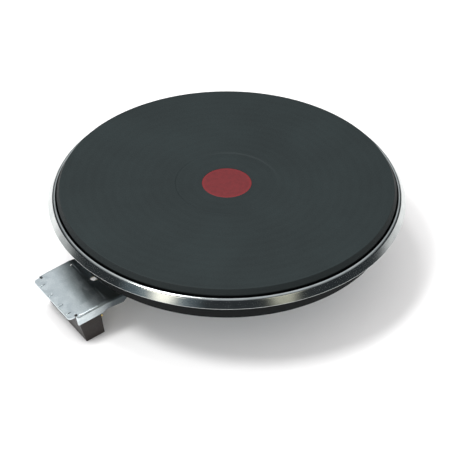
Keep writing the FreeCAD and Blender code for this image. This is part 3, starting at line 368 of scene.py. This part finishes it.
def silver_contact():
    """Cold-headed silver rivet, its crown dulled by arcing."""
    material, tree, shader, place = start("silver_contact", Metallic=1.0)
    tarnish = speckle(tree, place, 0.8, detail=3)
    feed(tree, shader,
         Base_Color=blend(tree, span(tree, tarnish, 0.4, 0.6), rgb("#DEDDD8"), rgb("#B3AA98")),
         Roughness=span(tree, tarnish, 0.3, 0.7, 0.15, 0.35))
    bump(tree, shader, tarnish, 0.008)
    return material


FINISHES = {
    "cast_iron": heat_blacked_cast_iron(),
    "red_enamel": red_stove_enamel(),
    "stainless": polished_stainless(),
    "galvanised": spangled_zinc(),
    "zinc_screw": bright_zinc_plate(),
    "nickel": drawn_nickel(),
    "heating_alloy": oxidised_heating_wire(),
    "magnesia": pressed_powder(),
    "steatite": fired_steatite(),
    "mineral_board": ceramic_fibre_board(),
    "phenolic": moulded_phenolic(),
    "brass": tinned_brass(),
    "spring_steel": tempered_spring_strip(),
    "bimetal": rolled_bimetal(),
    "silver": silver_contact(),
}


# --- mesh tools --------------------------------------------------------------------------
SHARP = math.radians(35)


def crisp(mesh):
    """Smooth faces that meet gently, and keep the edges that are really sharp."""
    work = bmesh.new()
    work.from_mesh(mesh)
    bmesh.ops.recalc_face_normals(work, faces=work.faces)
    for face in work.faces:
        face.smooth = True
    for edge in work.edges:
        edge.smooth = len(edge.link_faces) == 2 and edge.calc_face_angle() < SHARP
    work.to_mesh(mesh)
    work.free()


def mesh_of(name, points, faces):
    mesh = bpy.data.meshes.new(name)
    mesh.from_pydata([tuple(point) for point in points], [], faces)
    mesh.validate()
    return mesh


def show(mesh, slot, stands_for=(), body="plate", place=Matrix.Identity(4)):
    """Put a mesh in the scene as a piece that rides on a body."""
    mesh.materials.clear()
    mesh.materials.append(FINISHES[slot])
    piece = bpy.data.objects.new(mesh.name, mesh)
    bpy.context.scene.collection.objects.link(piece)
    piece.matrix_world = place
    piece.modifiers.new("even_shading", "WEIGHTED_NORMAL").keep_sharp = True
    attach(piece, body)
    if stands_for:
        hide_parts(*stands_for)
    return piece


def combined(mesh, tools, operation="DIFFERENCE"):
    """A mesh with the tool meshes cut from it or joined to it."""
    scene = bpy.context.scene.collection
    base = bpy.data.objects.new("base", mesh)
    scene.objects.link(base)
    helpers = [bpy.data.objects.new("tool", tool) for tool in tools]
    for helper in helpers:
        scene.objects.link(helper)
        modifier = base.modifiers.new("cut", "BOOLEAN")
        modifier.operation = operation
        modifier.solver = "EXACT"
        modifier.object = helper
    result = bpy.data.meshes.new_from_object(
        base.evaluated_get(bpy.context.evaluated_depsgraph_get()))
    result.name = mesh.name
    for item in [base, *helpers]:
        bpy.data.objects.remove(item)
    return result


def modified(mesh, *steps):
    """A mesh after these modifiers, each given as its kind and its settings."""
    base = bpy.data.objects.new("base", mesh)
    bpy.context.scene.collection.objects.link(base)
    for kind, settings in steps:
        modifier = base.modifiers.new(kind.lower(), kind)
        for name, value in settings.items():
            setattr(modifier, name, value)
    result = bpy.data.meshes.new_from_object(
        base.evaluated_get(bpy.context.evaluated_depsgraph_get()))
    result.name = mesh.name
    bpy.data.objects.remove(base)
    return result


def rounded(corners, step=18):
    """Points of an outline whose corners (u, v, radius) are rounded by arcs."""
    points = []
    last = len(corners)
    for index, (u, v, radius) in enumerate(corners):
        corner = Vector((u, v))
        if not radius:
            points.append(corner)
            continue
        into = (corner - Vector(corners[index - 1][:2])).normalized()
        out = (Vector(corners[(index + 1) % last][:2]) - corner).normalized()
        turn = math.atan2(into.x * out.y - into.y * out.x, into.dot(out))
        side = math.copysign(1, turn)
        centre = corner - into * radius * math.tan(abs(turn) / 2)
        centre += Vector((-into.y, into.x)) * radius * side
        spoke = Vector((into.y, -into.x)) * radius * side
        count = max(1, math.ceil(abs(math.degrees(turn)) / step))
        for arc in range(count + 1):
            angle = turn * arc / count
            swing = Vector((spoke.x * math.cos(angle) - spoke.y * math.sin(angle),
                            spoke.x * math.sin(angle) + spoke.y * math.cos(angle)))
            points.append(centre + swing)
    return points


def turned(name, corners, segments=256, centre=(0, 0), step=18):
    """A solid turned about an upright axis from its half outline (r, z, corner radius) in mm."""
    outline = rounded(corners, step)
    points, rows = [], []
    for r, z in outline:
        on_axis = r < 1e-6
        count = 1 if on_axis else segments
        rows.append([len(points) + k for k in range(count)])
        for k in range(count):
            angle = math.tau * k / segments
            points.append((centre[0] * MM + r * MM * math.cos(angle),
                           centre[1] * MM + r * MM * math.sin(angle), z * MM))
    faces = []
    for near, far in zip(rows, rows[1:] + rows[:1]):
        if len(near) == 1 and len(far) == 1:
            continue
        for k in range(segments):
            n = (k + 1) % segments
            ring = [near[k % len(near)], near[n % len(near)], far[n % len(far)], far[k % len(far)]]
            faces.append(tuple(dict.fromkeys(ring)))
    mesh = mesh_of(name, points, faces)
    crisp(mesh)
    return mesh


def prism(name, outline, low, high):
    """A solid of this outline (x, y in mm) between two heights."""
    count = len(outline)
    points = [(u * MM, v * MM, z * MM) for z in (low, high) for u, v in outline]
    faces = [tuple(range(count - 1, -1, -1)), tuple(range(count, 2 * count))]
    faces += [(k, (k + 1) % count, count + (k + 1) % count, count + k) for k in range(count)]
    mesh = mesh_of(name, points, faces)
    crisp(mesh)
    return mesh


def rectangle(u0, v0, u1, v1, radius=0):
    return [(u0, v0, radius), (u1, v0, radius), (u1, v1, radius), (u0, v1, radius)]


def threaded(name, radius, pitch, low, high, segments=32, rows_per_turn=10):
    """A threaded rod: one helical ridge between two heights, run out at both ends."""
    depth = 0.61 * pitch
    rows = round((high - low) / pitch * rows_per_turn)
    points, faces = [], []
    for row in range(rows + 1):
        z = low + (high - low) * row / rows
        fade = min(1, min(z - low, high - z) / pitch)
        for k in range(segments):
            phase = (z / pitch - k / segments) % 1
            ridge = max(0, 1 - abs(2 * phase - 1) * 1.25 + 0.125)
            r = radius - depth * (1 - min(1, ridge) * fade)
            angle = math.tau * k / segments
            points.append((r * MM * math.cos(angle), r * MM * math.sin(angle), z * MM))
    for row in range(rows):
        for k in range(segments):
            n = (k + 1) % segments
            base = row * segments
            faces.append((base + k, base + n, base + segments + n, base + segments + k))
    faces.append(tuple(range(segments - 1, -1, -1)))
    faces.append(tuple(rows * segments + k for k in range(segments)))
    mesh = mesh_of(name, points, faces)
    crisp(mesh)
    return mesh


def joined(name, meshes):
    """Several meshes as one."""
    work = bmesh.new()
    for mesh in meshes:
        work.from_mesh(mesh)
    result = bpy.data.meshes.new(name)
    work.to_mesh(result)
    work.free()
    return result


# --- places taken from the frame -----------------------------------------------------------
def in_mm(vector):
    return Vector(vector) / MM


plate_low, plate_high = map(in_mm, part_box("cast_iron_plate"))
rim_low, rim_high = map(in_mm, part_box("overfall_rim"))
dot_low, dot_high = map(in_mm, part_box("red_dot"))
cover_low, cover_high = map(in_mm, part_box("bottom_cover"))
stud_low, stud_high = map(in_mm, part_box("centre_stud"))
pin_low, pin_high = map(in_mm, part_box("anti_rotation_pin"))
bracket_high = in_mm(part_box("terminal_bracket")[1])
block_high = in_mm(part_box("terminal_block")[1])
plate_top = plate_high.z
plate_radius = plate_high.x
skirt_radius = plate_radius - 1.5
cover_under = cover_low.z
cover_top = cover_under + 0.8

RIVET_HEAD = 3.6
RIVET_HOLE = 2.05
rivet_box = list(map(in_mm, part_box("bracket_rivets")))
rivet_places = [(rivet_box[1].x - RIVET_HEAD, 0),
                (rivet_box[0].x + RIVET_HEAD, rivet_box[0].y + RIVET_HEAD),
                (rivet_box[0].x + RIVET_HEAD, rivet_box[1].y - RIVET_HEAD)]

joints = {joint["name"]: joint for joint in frame["joints"]}
screws = [in_mm(joints[f"screw_{k}_turn"]["pos_m"]) for k in (1, 2, 3, 4)]
poles = [screw.y for screw in screws]
down = Vector(joints["clamp_1_slide"]["axis"]).normalized()
upward = -down
inward = Vector((0, 1, 0)).cross(upward)


# --- cast plate, dot and rim ---------------------------------------------------------------
def build_plate():
    """The casting: turned face with a shallow recess, bevelled edge, skirt, grooved ribs
    and the bosses for the stud and the anti-rotation pin."""
    top = plate_top
    recess = top - 0.4
    foot = plate_low.z
    rib_under = top - 15
    web = top - 7
    inside = skirt_radius - 7.5
    corners = [
        (0, recess - 0.3, 0), (16.1, recess - 0.3, 0), (16.1, recess, 0.05),
        (32.9, recess, 1.2), (33.7, top, 1.2),
        (plate_radius - 1.8, top, 0.5), (plate_radius, top - 3, 0.4),
        (plate_radius, top - 4, 0.3), (skirt_radius, top - 5, 0.5),
        (skirt_radius, top - 14, 4), (skirt_radius - 2, foot, 0.8),
        (inside, foot, 0.8), (inside, rib_under, 1.5),
    ]
    for step in range(5, -1, -1):
        middle = 42 + 10 * step
        corners += [(middle + 3.25, rib_under, 0.3), (middle + 3.25, web, 0.8),
                    (middle - 3.25, web, 0.8), (middle - 3.25, rib_under, 0.3)]
    corners += [(35, rib_under, 0.5), (35, web, 1.5), (9, web, 1.5), (9, cover_top, 0.3),
                (5.05, cover_top, 0), (5.05, cover_top + 13.05, 0), (0, cover_top + 13.05, 0)]
    body = turned("plate_casting", corners[::-1])
    pin_y = (pin_low.y + pin_high.y) / 2
    boss = turned("boss", [(2.55, cover_top, 0), (2.55, cover_top + 8.05, 0),
                           (0, cover_top + 8.05, 0), (0, web + 1, 0), (4.8, web + 1, 0),
                           (4.8, cover_top, 0)], 48, (0, pin_y))
    mesh = combined(body, [boss], "UNION")
    crisp(mesh)
    show(mesh, "cast_iron", ["cast_iron_plate"])


def build_dot():
    low, high = dot_low.z, dot_high.z
    mesh = turned("enamel_dot", [(0, low, 0), (16.0, low, 0), (16.08, high - 0.12, 0.1),
                                 (15.6, high - 0.01, 0.8), (0, high, 0)], 192)
    show(mesh, "red_enamel", ["red_dot"])


def build_rim():
    """The overfall rim: a collar round the skirt, a rolled bead, and a sloping face that
    ends in a flat hem."""
    outer = rim_high.x
    seat = plate_top - 9.5
    crest = rim_high.z
    foot = rim_low.z
    collar = skirt_radius + 0.1
    sheet = 0.6
    corners = [
        (collar, foot, 0.15), (collar, crest - 2.7, 0.8), (collar + 2.75, crest + 0.3, 1.3),
        (collar + 4.4, crest - 0.75, 2.6), (outer, seat + 0.22, 0.1), (outer, seat, 0.05),
        (outer - 1.3, seat, 0.1), (outer - 1.3, seat + 1.1, 0.4),
        (collar + 4.0, crest - 1.45, 2.0), (collar + 2.72, crest - 0.55, 0.7),
        (collar + sheet, crest - 2.95, 0.6), (collar + sheet, foot, 0.15),
    ]
    show(turned("rolled_rim", corners, 384, step=9), "stainless", ["overfall_rim"])


# --- cover, stud, pin and rivets -------------------------------------------------------------
def build_cover():
    """The pressed bottom cover: dished middle, stiffening swage and a turned-up lip."""
    edge = cover_high.x
    low, top = cover_under, cover_top
    lip = cover_high.z
    corners = [
        (0, low, 0), (94, low, 1.2), (94.8, low + 1, 1.0), (97.2, low + 1, 1.0),
        (98, low, 1.0), (edge, low, 1.4), (edge, lip, 0.2), (edge - 0.8, lip, 0.2),
        (edge - 0.8, top, 0.8), (98.4, top, 0.9), (97.6, top + 1, 1.0), (94.4, top + 1, 1.0),
        (93.6, top, 1.0), (0, top, 0),
    ]
    body = turned("pressed_cover", corners, 288, step=15)
    pin_y = (pin_low.y + pin_high.y) / 2
    drilled = [(5.3, (0, 0), 48), (2.8, (0, pin_y), 48)]
    drilled += [(RIVET_HOLE, place, 32) for place in rivet_places]
    holes = [turned("hole", [(0, low - 2, 0), (radius, low - 2, 0), (radius, top + 2, 0),
                             (0, top + 2, 0)], segments, centre)
             for radius, centre, segments in drilled]
    through_low, through_high = map(in_mm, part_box("lead_through"))
    window = prism("window", rounded(rectangle(through_low.x + 1.7, through_low.y + 1.7,
                                               through_high.x - 1.7, through_high.y - 1.7, 0.8)),
                   low - 2, top + 2)
    mesh = combined(body, holes + [window])
    crisp(mesh)
    show(mesh, "galvanised", ["bottom_cover"])


def build_rivets():
    """Three rivets with domed heads below and set heads above."""
    low, high = rivet_box[0].z, rivet_box[1].z
    under, over = low + 1.2, high - 1.2
    points = [(0, low, 0), (2.2, low, 1.5), (RIVET_HEAD, under - 0.3, 0.3),
              (RIVET_HEAD, under, 0), (2, under, 0), (2, over, 0), (RIVET_HEAD, over, 0),
              (3.5, high - 0.2, 0.5), (0, high, 0)]
    rivets = [turned("rivet", points, 40, place) for place in rivet_places]
    show(joined("set_rivets", rivets), "zinc_screw", ["bracket_rivets"])


def build_stud():
    """The clamping stud: hexagon collar with chamfered corners over an M8 thread."""
    collar = cover_under
    flats = 8.5
    corner = flats / math.cos(math.radians(30))
    turns = [math.radians(60 * k) for k in range(6)]
    outline = [(corner * math.cos(turn), corner * math.sin(turn), 0.4) for turn in turns]
    hexagon = prism("hexagon", rounded(outline), 0, collar)
    cone = turned("cone", [(0, -1, 0), (corner - 1.3, -1, 0), (corner + 0.7, 0.7, 0),
                           (corner + 0.7, collar - 0.7, 0), (corner - 0.6, collar + 1, 0),
                           (0, collar + 1, 0)], 96)
    head = combined(hexagon, [cone], "INTERSECT")
    crisp(head)
    tip = stud_low.z
    rod = threaded("thread", 4.0, 1.25, tip + 0.8, -2.0)
    cap = turned("cap", [(0, tip, 0), (2.9, tip, 0.2), (3.24, tip + 0.8, 0), (3.24, tip + 1.6, 0),
                         (0, tip + 1.6, 0)], 32)
    neck = turned("neck", [(0, -3, 0), (3.24, -3, 0), (3.9, -1.6, 0.2), (3.9, 0.2, 0),
                           (0, 0.2, 0)], 48)
    root = turned("root", [(0, collar - 0.2, 0), (5, collar - 0.2, 0), (5, stud_high.z - 1, 0),
                           (4, stud_high.z, 0), (0, stud_high.z, 0)], 48)
    show(joined("clamping_stud", [head, rod, cap, neck, root]), "zinc_screw", ["centre_stud"])


def build_pin():
    low, high = pin_low.z, pin_high.z
    pin_y = (pin_low.y + pin_high.y) / 2
    corners = [(0, low, 0), (1.5, low, 0.1), (2, low + 0.5, 0.3), (2, cover_under, 0.2),
               (2.5, cover_under, 0), (2.5, high - 0.3, 0), (2.2, high, 0), (0, high, 0)]
    show(turned("locating_pin", corners, 48, (0, pin_y)), "zinc_screw", ["anti_rotation_pin"])


# --- terminal bracket ------------------------------------------------------------------------
SHEET = 1.2
BEND = 1.6
SCREW_X, BAR_UNDER = -12.1, -13.7
half_width = bracket_high.y
panel_zero = screws[0] - inward * SCREW_X - upward * BAR_UNDER
panel_zero.y = 0
panel_frame = Matrix.Translation(panel_zero * MM) @ Matrix(
    ((inward.x, 0, upward.x, 0), (0, 1, 0, 0), (inward.z, 0, upward.z, 0), (0, 0, 0, 1)))
PANEL, TAB = 22.2, 4.6


class SideLine:
    """The bracket's side view as a path of straight runs and arcs, measured by its length."""

    def __init__(self, corners):
        self.points = [Vector(point) for point in rounded(corners, 6)]
        self.lengths = [0.0]
        for near, far in zip(self.points, self.points[1:]):
            self.lengths.append(self.lengths[-1] + (far - near).length)

    def at(self, length):
        """Point and outward normal at this length, both in the side view."""
        length = min(max(length, 0), self.lengths[-1] - 1e-6)
        index = next(k for k, end in enumerate(self.lengths[1:]) if length <= end)
        near, far = self.points[index], self.points[index + 1]
        share = (length - self.lengths[index]) / (self.lengths[index + 1] - self.lengths[index])
        along = (far - near).normalized()
        return near.lerp(far, share), Vector((along.y, -along.x))

    def reach(self, x):
        """Length at which the path stands over this x."""
        for index, (near, far) in enumerate(zip(self.points, self.points[1:])):
            if far.x <= x <= near.x:
                return self.lengths[index] + (near.x - x) / (near.x - far.x) * (far - near).length
        return self.lengths[-1]


def build_bracket():
    """One blank of sheet with its holes, bent along the side view and folded at the sides."""
    panel_top = panel_zero.z
    step_foot = -62 - (cover_under - panel_top) / math.tan(math.radians(53))
    tip = panel_zero - inward * (PANEL + TAB)
    side = SideLine([(bracket_high.x, cover_under, 0), (-62, cover_under, 3),
                     (step_foot, panel_top, 3), (panel_zero.x, panel_top, 4),
                     (tip.x, tip.z, 0)])
    total = side.lengths[-1]
    end = total - TAB
    fold_from = side.reach(-91)
    flat = half_width - BEND
    edge = flat + BEND * math.pi / 2
    shallow, deep = edge + 5.3 - BEND, edge + 6.7 - BEND
    tab = 22.65
    half = [(0, half_width, 2), (fold_from - 1.2, half_width, 1),
            (fold_from - 1.2, flat - 0.5, 0.4), (fold_from, flat - 0.5, 0.4),
            (fold_from, shallow - 3.5, 0.5), (fold_from + 3.5, shallow, 1),
            (end - 21, shallow, 1.5), (end - 17.5, deep, 1.5), (end, deep, 0.6),
            (end, flat, 0.3), (end - 1.8, flat, 0.5), (end - 1.8, 21, 0.5),
            (end, 21, 0.2), (end, tab, 0.3), (total, tab, 2.5)]
    outline = rounded(half + [(u, -v, r) for u, v, r in half[::-1]], 15)
    turns = [math.tau * k / 32 for k in range(32)]
    drilled = [(-100.7, 0, 3)] + [(x, y, RIVET_HOLE) for x, y in rivet_places]
    holes = [[(side.reach(x) + r * math.cos(turn), y + r * math.sin(turn)) for turn in turns]
             for x, y, r in drilled]
    window = side.reach(-78.5), side.reach(-93.5)
    window_outline = rounded(rectangle(window[0], -17, window[1], 17, 1.5))
    holes.append([tuple(point) for point in window_outline])
    crease = side.reach(panel_zero.x)
    steps = side.lengths[1:-1]
    steps += [crease + offset for offset in (-1.2, -0.9, -0.6, -0.3, 0, 0.3, 0.6, 0.9, 1.2)]
    steps += [fold_from + 4 * k for k in range(1, 12)]
    across = [flat, edge] + [flat + BEND * math.pi / 2 * k / 6 for k in range(1, 6)]
    across += [20.6, 20.2, 19.6, 10]
    across = sorted({0.0, *across, *(-y for y in across)})

    def inside(u, v, loop):
        odd = False
        for (au, av), (bu, bv) in zip(loop, loop[1:] + loop[:1]):
            if (av > v) != (bv > v) and u < au + (v - av) / (bv - av) * (bu - au):
                odd = not odd
        return odd

    loops = [[tuple(point) for point in outline], *holes]

    def on_sheet(u, v):
        return inside(u, v, loops[0]) and not any(inside(u, v, hole) for hole in holes)

    spots = [(u, v) for u in steps for v in across if on_sheet(u, v)]
    flat_points, edges = [], []
    for loop in loops:
        first = len(flat_points)
        flat_points += loop
        edges += [(first + k, first + (k + 1) % len(loop)) for k in range(len(loop))]
    flat_points += spots
    vectors = [Vector(point) for point in flat_points]
    corners, _, triangles, *_ = geometry.delaunay_2d_cdt(vectors, edges, [], 0, 1e-5)
    kept = [face for face in triangles
            if on_sheet(*(sum((corners[k] for k in face), Vector((0, 0))) / len(face)))]
    points = []
    for u, v in corners:
        spot, normal = side.at(u)
        dent = 0.28 * max(0, 1 - ((u - crease) / 1.0) ** 2) ** 2 if abs(v) < 20.3 else 0
        width, drop = abs(v), dent
        if width > flat and u > fold_from - 1.19:
            turn = min((width - flat) / BEND, math.pi / 2)
            rest = max(0, width - edge)
            width, drop = flat + BEND * math.sin(turn), BEND * (1 - math.cos(turn)) + rest
        points.append(((spot.x - normal.x * drop) * MM, math.copysign(width, v) * MM,
                       (spot.y - normal.y * drop) * MM))
    skin = mesh_of("folded_bracket", points, kept)
    work = bmesh.new()
    work.from_mesh(skin)
    bmesh.ops.recalc_face_normals(work, faces=work.faces)
    work.faces.ensure_lookup_table()
    top_face = max(work.faces, key=lambda face: face.calc_center_median().z)
    if top_face.normal.z < 0:
        bmesh.ops.reverse_faces(work, faces=work.faces)
    work.to_mesh(skin)
    work.free()
    sheet = modified(skin, ("SOLIDIFY", {"thickness": SHEET * MM, "offset": -1}))
    mesh = modified(sheet, ("BEVEL", {"width": 0.12 * MM, "segments": 2,
                                      "angle_limit": math.radians(60)}))
    crisp(mesh)
    show(mesh, "galvanised", ["terminal_bracket"])
    pip = turned("punched_pip", [(0, -0.1, 0), (0.7, -0.1, 0), (0.6, 0.15, 0),
                                 (0.3, 0.3, 0.2), (0, 0.3, 0)], 24)
    pip.transform(panel_frame @ Matrix.Translation(Vector((-0.6, 19.6, 0)) * MM))
    show(pip, "zinc_screw")


def build_digits():
    """Terminal numbers 1 to 4, embossed from below and standing a little proud of the tab."""
    quarter = Matrix.Rotation(-math.pi / 2, 4, "Z")
    marks = []
    for digit, y in zip("1234", (15.3, 4.0, -7.9, -17.1)):
        letter = bpy.data.curves.new("digit", "FONT")
        letter.body = digit
        letter.size = 4.4 * MM
        letter.offset = 0.08 * MM
        letter.extrude = 0.2 * MM
        letter.bevel_depth = 0.14 * MM
        letter.bevel_resolution = 1
        letter.align_x = letter.align_y = "CENTER"
        word = bpy.data.objects.new("digit", letter)
        bpy.context.scene.collection.objects.link(word)
        shape = bpy.data.meshes.new_from_object(
            word.evaluated_get(bpy.context.evaluated_depsgraph_get()))
        bpy.data.objects.remove(word)
        shape.transform(panel_frame @ Matrix.Translation(Vector((-24.7, y, 0.1)) * MM) @ quarter)
        marks.append(shape)
    show(joined("embossed_digits", marks), "galvanised")


# --- terminal block --------------------------------------------------------------------------
def build_block():
    """The moulding: a comb-shaped section along the bracket, with blind wells for the screws."""
    pitch = screws[1].y - screws[0].y
    half = block_high.y
    top, core, foot = -SHEET, -SHEET - 11, -SHEET - 22.8
    outer, inner = -18.8, -5.4
    lean, front_wall, partition = 3, 1.6, 1.8
    room_half = (pitch - partition) / 2
    well_top = -3.7
    body = prism("moulded_block", rounded(rectangle(outer, -half, inner, half, 0.5)), foot, top)
    for vertex in body.vertices:
        if vertex.co.x < (outer + inner) / 2 * MM and vertex.co.z > 0.5 * (foot + top) * MM:
            vertex.co.x -= lean * MM
    rooms = [prism("room", rounded(rectangle(outer + front_wall, y - room_half, inner + 1,
                                             y + room_half, 0.4)), foot - 1, core)
             for y in poles]
    wells = [turned("well", [(0, well_top, 0), (0, core - 1, 0), (2.5, core - 1, 0),
                             (2.5, well_top, 0)], 32, (SCREW_X, y)) for y in poles]
    mesh = combined(body, rooms + wells)
    mesh = modified(mesh, ("BEVEL", {"width": 0.3 * MM, "segments": 3,
                                     "angle_limit": math.radians(60)}))
    crisp(mesh)
    mesh.transform(panel_frame)
    show(mesh, "phenolic", ["terminal_block"])


def build_screws():
    """Terminal screws: slotted cheese heads with rounded crowns and M4 threads."""
    low, under = -17.78, -14.98
    for index, y in enumerate(poles, 1):
        head = turned("head", [(0, low, 0), (3.0, low, 0.6), (3.7, low + 0.65, 0.4),
                               (3.7, under, 0.15), (0, under, 0)], 64)
        slot = prism("slot", [(-0.55, -5), (0.55, -5), (0.55, 5), (-0.55, 5)],
                     low - 1, low + 1.3)
        head = combined(head, [slot])
        crisp(head)
        rod = threaded("rod", 2.0, 0.7, under - 0.2, -4.6, 28, 8)
        point = turned("point", [(0, -4.7, 0), (1.57, -4.7, 0), (1.57, -4.5, 0),
                                 (1.3, -4.2, 0), (0, -4.2, 0)], 28)
        mesh = joined(f"slotted_screw_{index}", [head, rod, point])
        mesh.transform(panel_frame @ Matrix.Translation(Vector((SCREW_X, y, 0)) * MM))
        show(mesh, "zinc_screw", [f"terminal_screw_{index}"], f"screw_{index}")


# --- CAD pieces that keep their own shape ------------------------------------------------------
# Width and steps of the rounding on their edges, for the pieces that are seen from outside
ROUNDED_EDGES = {"steatite": (0.45, 3), "brass": (0.15, 2), "zinc_screw": (0.2, 2),
                 "spring_steel": (0.08, 1)}


def finish_nodes():
    """Close the seams of each mesh, round the edges of those seen from outside, and give it its
    finish.
    """
    for item in frame["nodes"].values():
        slot = item.data.materials[0].name
        item.data.materials[0] = FINISHES[slot]
        item.modifiers.new("seams", "WELD").merge_threshold = 0.01 * MM
        if slot in ROUNDED_EDGES:
            flat = item.modifiers.new("flat_faces", "DECIMATE")
            flat.decimate_type = "DISSOLVE"
            flat.angle_limit = math.radians(1)
            edge = item.modifiers.new("rounded_edges", "BEVEL")
            width, edge.segments = ROUNDED_EDGES[slot]
            edge.width = width * MM
            edge.angle_limit = math.radians(50)
        item.modifiers.new("even_shading", "WEIGHTED_NORMAL")


# --- scene -----------------------------------------------------------------------------------
build_plate()
build_dot()
build_rim()
build_cover()
build_rivets()
build_stud()
build_pin()
build_bracket()
build_digits()
build_block()
build_screws()
finish_nodes()


def add_light(name, size, power, target, azimuth, elevation, distance, gloss=True):
    """A softbox at this bearing (from +X) and height over the plate, facing it."""
    data = bpy.data.lights.new(name, "AREA")
    data.shape = "DISK"
    data.size = size
    data.energy = power
    lamp = bpy.data.objects.new(name, data)
    bearing, height = math.radians(azimuth), math.radians(elevation)
    away = Vector((math.cos(bearing) * math.cos(height),
                   math.sin(bearing) * math.cos(height), math.sin(height)))
    lamp.location = Vector(target) + away * distance
    lamp.rotation_mode = "QUATERNION"
    lamp.rotation_quaternion = away.to_track_quat("Z", "Y")
    lamp.visible_glossy = gloss
    lamp.visible_camera = False
    bpy.context.scene.collection.objects.link(lamp)


def build_studio():
    """A pale floor under the object, white walls with a dark bay on the viewer's side and a
    broad ceiling light; the polished rim mirrors all of them."""
    lowest = cad_box[0].z
    reach = 6.0
    floor = mesh_of("floor", [(-reach, -reach, lowest), (reach, -reach, lowest),
                              (reach, reach, lowest), (-reach, reach, lowest)],
                    [(0, 1, 2, 3)])
    material, tree, shader, place = start("matt_white_floor", Roughness=0.9)
    paint = blend(tree, speckle(tree, place, 60), rgb("#F2F2F2"), rgb("#F5F5F5"))
    feed(tree, shader, Base_Color=paint)
    # Seen from below the floor lets the view through, and still throws light back up
    below = arithmetic(tree, "MULTIPLY", add(tree, "NewGeometry")["Backfacing"],
                       add(tree, "LightPath")["Is Camera Ray"])
    clear = add(tree, "BsdfTransparent")["BSDF"]
    surface = add(tree, "MixShader", {0: below, 1: shader.outputs["BSDF"], 2: clear})["Shader"]
    tree.links.new(surface, tree.nodes["Material Output"].inputs["Surface"])
    floor.materials.append(material)
    item = bpy.data.objects.new("floor", floor)
    bpy.context.scene.collection.objects.link(item)

    world = bpy.data.worlds.new("studio")
    bpy.context.scene.world = world
    world.use_nodes = True
    tree = world.node_tree
    background = tree.nodes["Background"]
    look = add(tree, "TexCoord")["Generated"]
    height = add(tree, "SeparateXYZ", {0: look})["Z"]

    def patch(azimuth, elevation, inner, outer):
        """1 inside a round patch of the surroundings, 0 outside, soft between."""
        bearing, rise = math.radians(azimuth), math.radians(elevation)
        middle = (math.cos(bearing) * math.cos(rise), math.sin(bearing) * math.cos(rise),
                  math.sin(rise))
        near = add(tree, "VectorMath", {0: look, 1: middle}, operation="DOT_PRODUCT")["Value"]
        return span(tree, near, math.cos(math.radians(outer)), math.cos(math.radians(inner)))

    wall = blend(tree, span(tree, height, 0.03, 0.11), rgb("#8D8D8D"), rgb("#191C1E"))
    wall = blend(tree, patch(56, 72, 20, 60), wall, rgb("#8E9092"))
    wall = blend(tree, patch(-166, 31, 12, 26), wall, rgb("#4A5358"))
    wall = blend(tree, patch(-164, 33, 9, 12), wall, rgb("#E4DFD3"))
    wall = blend(tree, patch(-88, 33, 8, 12), wall, rgb("#8F8D80"))
    fill = rgb("#9B9A9A")
    background.inputs["Strength"].default_value = 3
    gloss = add(tree, "LightPath")["Is Glossy Ray"]
    tree.links.new(blend(tree, gloss, fill, wall), background.inputs["Color"])
    middle = (0, 0, plate_top * MM)
    distance = 1.5
    add_light("key", 0.42, 12, middle, 172, 62, distance)
    add_light("second", 0.35, 4.5, middle, 120, 76, distance)
    add_light("front", 1.2, 3, middle, -124, 22, distance, gloss=False)


def build_camera():
    """The viewing angle: 36 degrees down on the plate, from the side of the terminals."""
    data = bpy.data.cameras.new("camera")
    data.sensor_width = 36
    data.lens = 132.06
    camera = bpy.data.objects.new("camera", data)
    bpy.context.scene.collection.objects.link(camera)
    azimuth, elevation, distance = math.radians(-34), math.radians(35.99), 1.0678
    back = Vector((math.sin(azimuth) * math.cos(elevation),
                   -math.cos(azimuth) * math.cos(elevation), math.sin(elevation)))
    camera.location = Vector((0, 0, plate_top * MM)) + back * distance
    lower, aside = math.radians(1.487), math.radians(0.076)
    camera.rotation_euler = (math.pi / 2 - elevation - lower, 0, azimuth + aside)
    bpy.context.scene.camera = camera


build_studio()
build_camera()
bpy.context.scene.view_settings.view_transform = "Standard"
